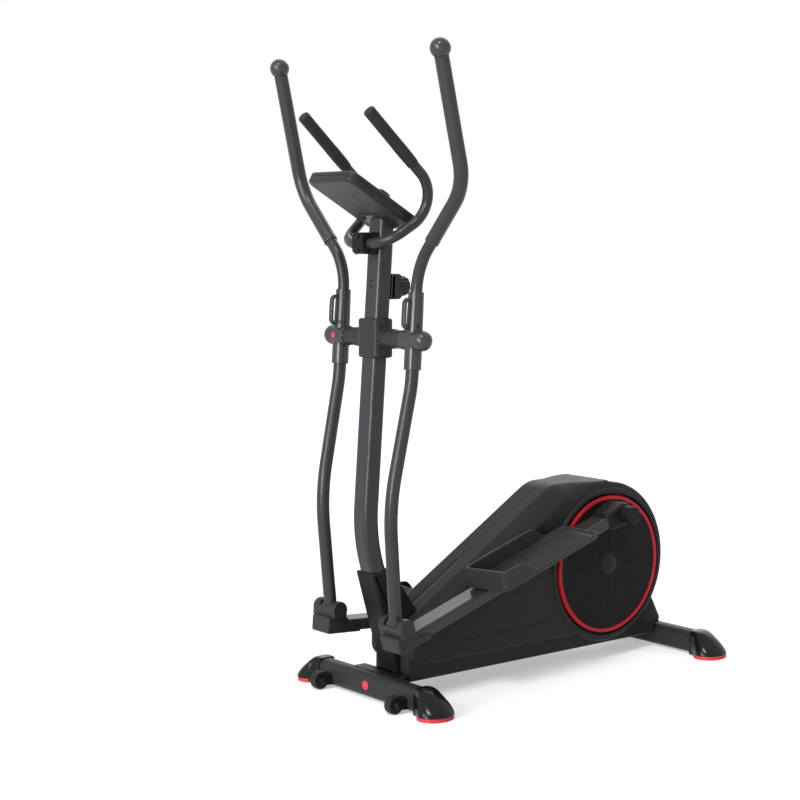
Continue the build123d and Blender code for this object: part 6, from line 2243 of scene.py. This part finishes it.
@dataclass
class TensionControl:
    """Resistance box on the back of the mast, with its fluted dial."""

    shop: Workshop
    z: float = 1008.0
    half_width: float = 27.0
    height: float = 62.0
    depth: float = 34.0
    knob_gap: float = 1.0
    lobes: int = 10

    def build(self, mast: Mast) -> None:
        """Build the box and the dial.

        Args:
            mast: Mast that carries the box.
        """
        back = mast.line_y(self.z) + mast.depth / 2
        face = back + self.depth
        low, high = self.z - self.height / 2, self.z + self.height / 2
        corners = [(back - 2, low), (face, low), (face, high), (back + 1, high)]
        outline = rounded_polygon(corners, [1, 10, 10, 1], 1.2)
        skin = Skin().prism(outline, -self.half_width, self.half_width, side_place(), 8.0, 8.0)
        place = Place((0, face, self.z), (1, 0, 0), (0, 0, 1), (0, 1, 0))
        skin.revolve([(-3, 28), (0.2, 28), (0.7, 27.4), (0.7, 7.5)], place)
        self.shop.settle(skin, "tension_box", TRIM, "tension_housing")
        self._dial(place)

    def _dial(self, place: Place) -> None:
        """Dial as rows of height, radius and flute depth.

        A row's radius dips by its depth times the sixth power of a cosine with one crest a flute.

        Args:
            place: Axes of the dial.
        """
        angle = np.linspace(0, FULL_TURN, 240, endpoint=False)
        dip = np.abs(np.cos(angle * self.lobes / 2)) ** 6
        rows = np.array([
            (0.0, 23.0, 0.0), (0.6, 24.4, 0.4), (1.8, 25.0, 1.0), (6.0, 25.0, 1.9), (18.0, 24.6, 2.2),
            (22.5, 24.0, 1.8), (24.6, 22.9, 1.0), (25.7, 21.0, 0.4), (26.0, 18.6, 0.0), (25.4, 15.5, 0.0),
            (25.2, 6.0, 0.0),
        ])
        height, radius, depth = rows.T
        reach = radius[:, None] - depth[:, None] * dip[None]
        skin = Skin().stack(reach[..., None] * circle(angle), height + self.knob_gap, place)
        pointer = rounded_rectangle(3.0, 13.0, 1.4, 0.8, 0, 9.0)
        skin.prism(pointer, 20, self.knob_gap + height.max(), place, 0.0, 0.6)
        skin.revolve([(-10.0, 6.9), (2.0, 6.9)], place)
        self.shop.settle(skin, "tension_dial_cap", HARD_BLACK, "tension_knob", body="tension_dial")


@dataclass
class Fasteners:
    """Button-head bolts of the rear saddle, the wheels and the clamp."""

    shop: Workshop
    saddle_x: float = 42.0
    head: Pair = (7.5, 5.0)
    nut: Pair = (7.0, 4.0)

    def build(self, base: Base, frame: Weldment, bar: Handlebar) -> None:
        """Build all the bolts as one piece.

        Args:
            base: Base with the wheels' places.
            frame: Frame with the saddle's height.
            bar: Handlebar with the clamp's place.
        """
        skin = Skin()
        fork = base.wheel_half + base.fork_gap + base.fork_plate
        for side in Side:
            skin.bolt_head(PLAN.moved(side.value * self.saddle_x, base.rear_y, frame.plate_top), *self.head)
            for facing, size in ((1, self.head), (-1, self.nut)):
                wheel = side_place(side.value * facing, base.wheel_y, base.wheel_z)
                skin.bolt_head(wheel.moved(z=facing * base.wheel_x + fork), *size)
        for drop in (-bar.clamp_bolts, bar.clamp_bolts):
            skin.bolt_head(front_place(0, bar.clamp_front, bar.z + drop), *self.head)
        self.shop.settle(skin, "bolt_heads", DARK_STEEL, "frame_bolts")


def seen_directly(tree: Tree) -> Socket:
    """One for rays of the camera, a mirror or glass, and zero for the light that falls on things.

    Args:
        tree: Node tree that gets the nodes.

    Returns:
        The result's socket.
    """
    path = tree.nodes.new("ShaderNodeLightPath")
    seen = add_math(tree, "MAXIMUM", path.outputs["Is Camera Ray"], path.outputs["Is Glossy Ray"])
    return add_math(tree, "MAXIMUM", seen, path.outputs["Is Transmission Ray"])


@dataclass
class Studio:
    """Plain white floor, soft studio light and the photograph's camera."""

    position: Triple = (3.3108, -3.0189, 1.1303)
    forward: Triple = (-0.7759, 0.6238, -0.0939)
    lens: float = 78.45
    sensor: float = 36.0
    floor_half: float = 40.0
    floor_white: float = 0.9
    floor_lift: float = 0.4
    ambient: float = 0.22

    def build(self) -> None:
        """Build the floor, world, lamps and camera."""
        bpy.context.scene.view_settings.view_transform = "Standard"
        self._floor()
        self._world()
        self._sun("key", (0.1, -0.94, 0.32), 1.9, 34.0)
        self._sun("strip", (0.38, -0.92, 0.05), 1.2, 9.0)
        self._sun("overhead", (0.34, -0.46, 0.82), 1.2, 14.0)
        self._sun("rim", (-0.45, 0.62, 0.64), 0.8, 50.0)
        self._camera()

    def _floor(self) -> None:
        """Large pale floor that keeps the machine's shadow."""
        half = self.floor_half
        mesh = bpy.data.meshes.new("floor")
        corners = [(-half, -half, 0), (half, -half, 0), (half, half, 0), (-half, half, 0)]
        mesh.from_pydata(corners, [], [(0, 1, 2, 3)])
        floor = bpy.data.objects.new("floor", mesh)
        bpy.context.scene.collection.objects.link(floor)
        material = bpy.data.materials.new("white_floor")
        material.use_nodes = True
        tree = material.node_tree
        shader = tree.nodes["Principled BSDF"]
        shader.inputs["Base Color"].default_value = (self.floor_white,) * 3 + (1.0,)
        shader.inputs["Roughness"].default_value = 0.9
        shader.inputs["Specular IOR Level"].default_value = 0.0
        shader.inputs["Emission Color"].default_value = (1.0, 1.0, 1.0, 1.0)
        lift = add_math(tree, "MULTIPLY", seen_directly(tree), self.floor_lift)
        tree.links.new(lift, shader.inputs["Emission Strength"])
        mesh.materials.append(material)

    def _world(self) -> None:
        """White where the camera, a mirror or glass looks, and a plain soft light elsewhere."""
        world = bpy.data.worlds.new("studio")
        world.use_nodes = True
        tree = world.node_tree
        background = tree.nodes["Background"]
        background.inputs["Color"].default_value = (1.0, 1.0, 1.0, 1.0)
        seen = seen_directly(tree)
        strength = tree.nodes.new("ShaderNodeMapRange")
        strength.inputs["To Min"].default_value = self.ambient
        strength.inputs["To Max"].default_value = 1.0
        tree.links.new(seen, strength.inputs["Value"])
        tree.links.new(strength.outputs["Result"], background.inputs["Strength"])
        bpy.context.scene.world = world

    @staticmethod
    def _sun(name: str, direction: Triple, strength: float, spread: float) -> None:
        """Soft lamp far away.

        Args:
            name: Name of the lamp.
            direction: Where it stands, seen from the object.
            strength: Its strength.
            spread: Its angular width, in degrees.
        """
        data = bpy.data.lights.new(name, "SUN")
        data.energy = strength
        data.angle = math.radians(spread)
        lamp = bpy.data.objects.new(name, data)
        lamp.rotation_euler = Vector(direction).to_track_quat("Z", "Y").to_euler()
        bpy.context.scene.collection.objects.link(lamp)

    def _camera(self) -> None:
        """Camera at the photograph's place and angle."""
        data = bpy.data.cameras.new("camera")
        data.lens = self.lens
        data.sensor_width = self.sensor
        camera = bpy.data.objects.new("camera", data)
        camera.location = self.position
        camera.rotation_euler = (-Vector(self.forward)).to_track_quat("Z", "Y").to_euler()
        bpy.context.scene.collection.objects.link(camera)
        bpy.context.scene.camera = camera


def main(frame: dict) -> None:
    """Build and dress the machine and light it.

    Args:
        frame: The loaded frame.
    """
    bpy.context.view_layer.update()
    shop = Workshop(frame)
    shop.dress_nodes()
    linkage = Linkage()
    base, mast, console, bar = Base(shop), Mast(shop), Console(shop), Handlebar(shop)
    base.build()
    weldment = Weldment(shop, linkage)
    weldment.build(base)
    mast.build(console)
    Housing(shop, linkage).build()
    Crank(shop, linkage).build()
    PivotCover(shop, linkage).build(mast)
    for side in Side:
        SwingArm(shop, linkage, side).build()
        FootRail(shop, linkage, side).build()
    bar.build(mast)
    console.build()
    TensionControl(shop).build(mast)
    Fasteners(shop).build(base, weldment, bar)
    Studio().build()


if __name__ == "__main__":
    main(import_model())
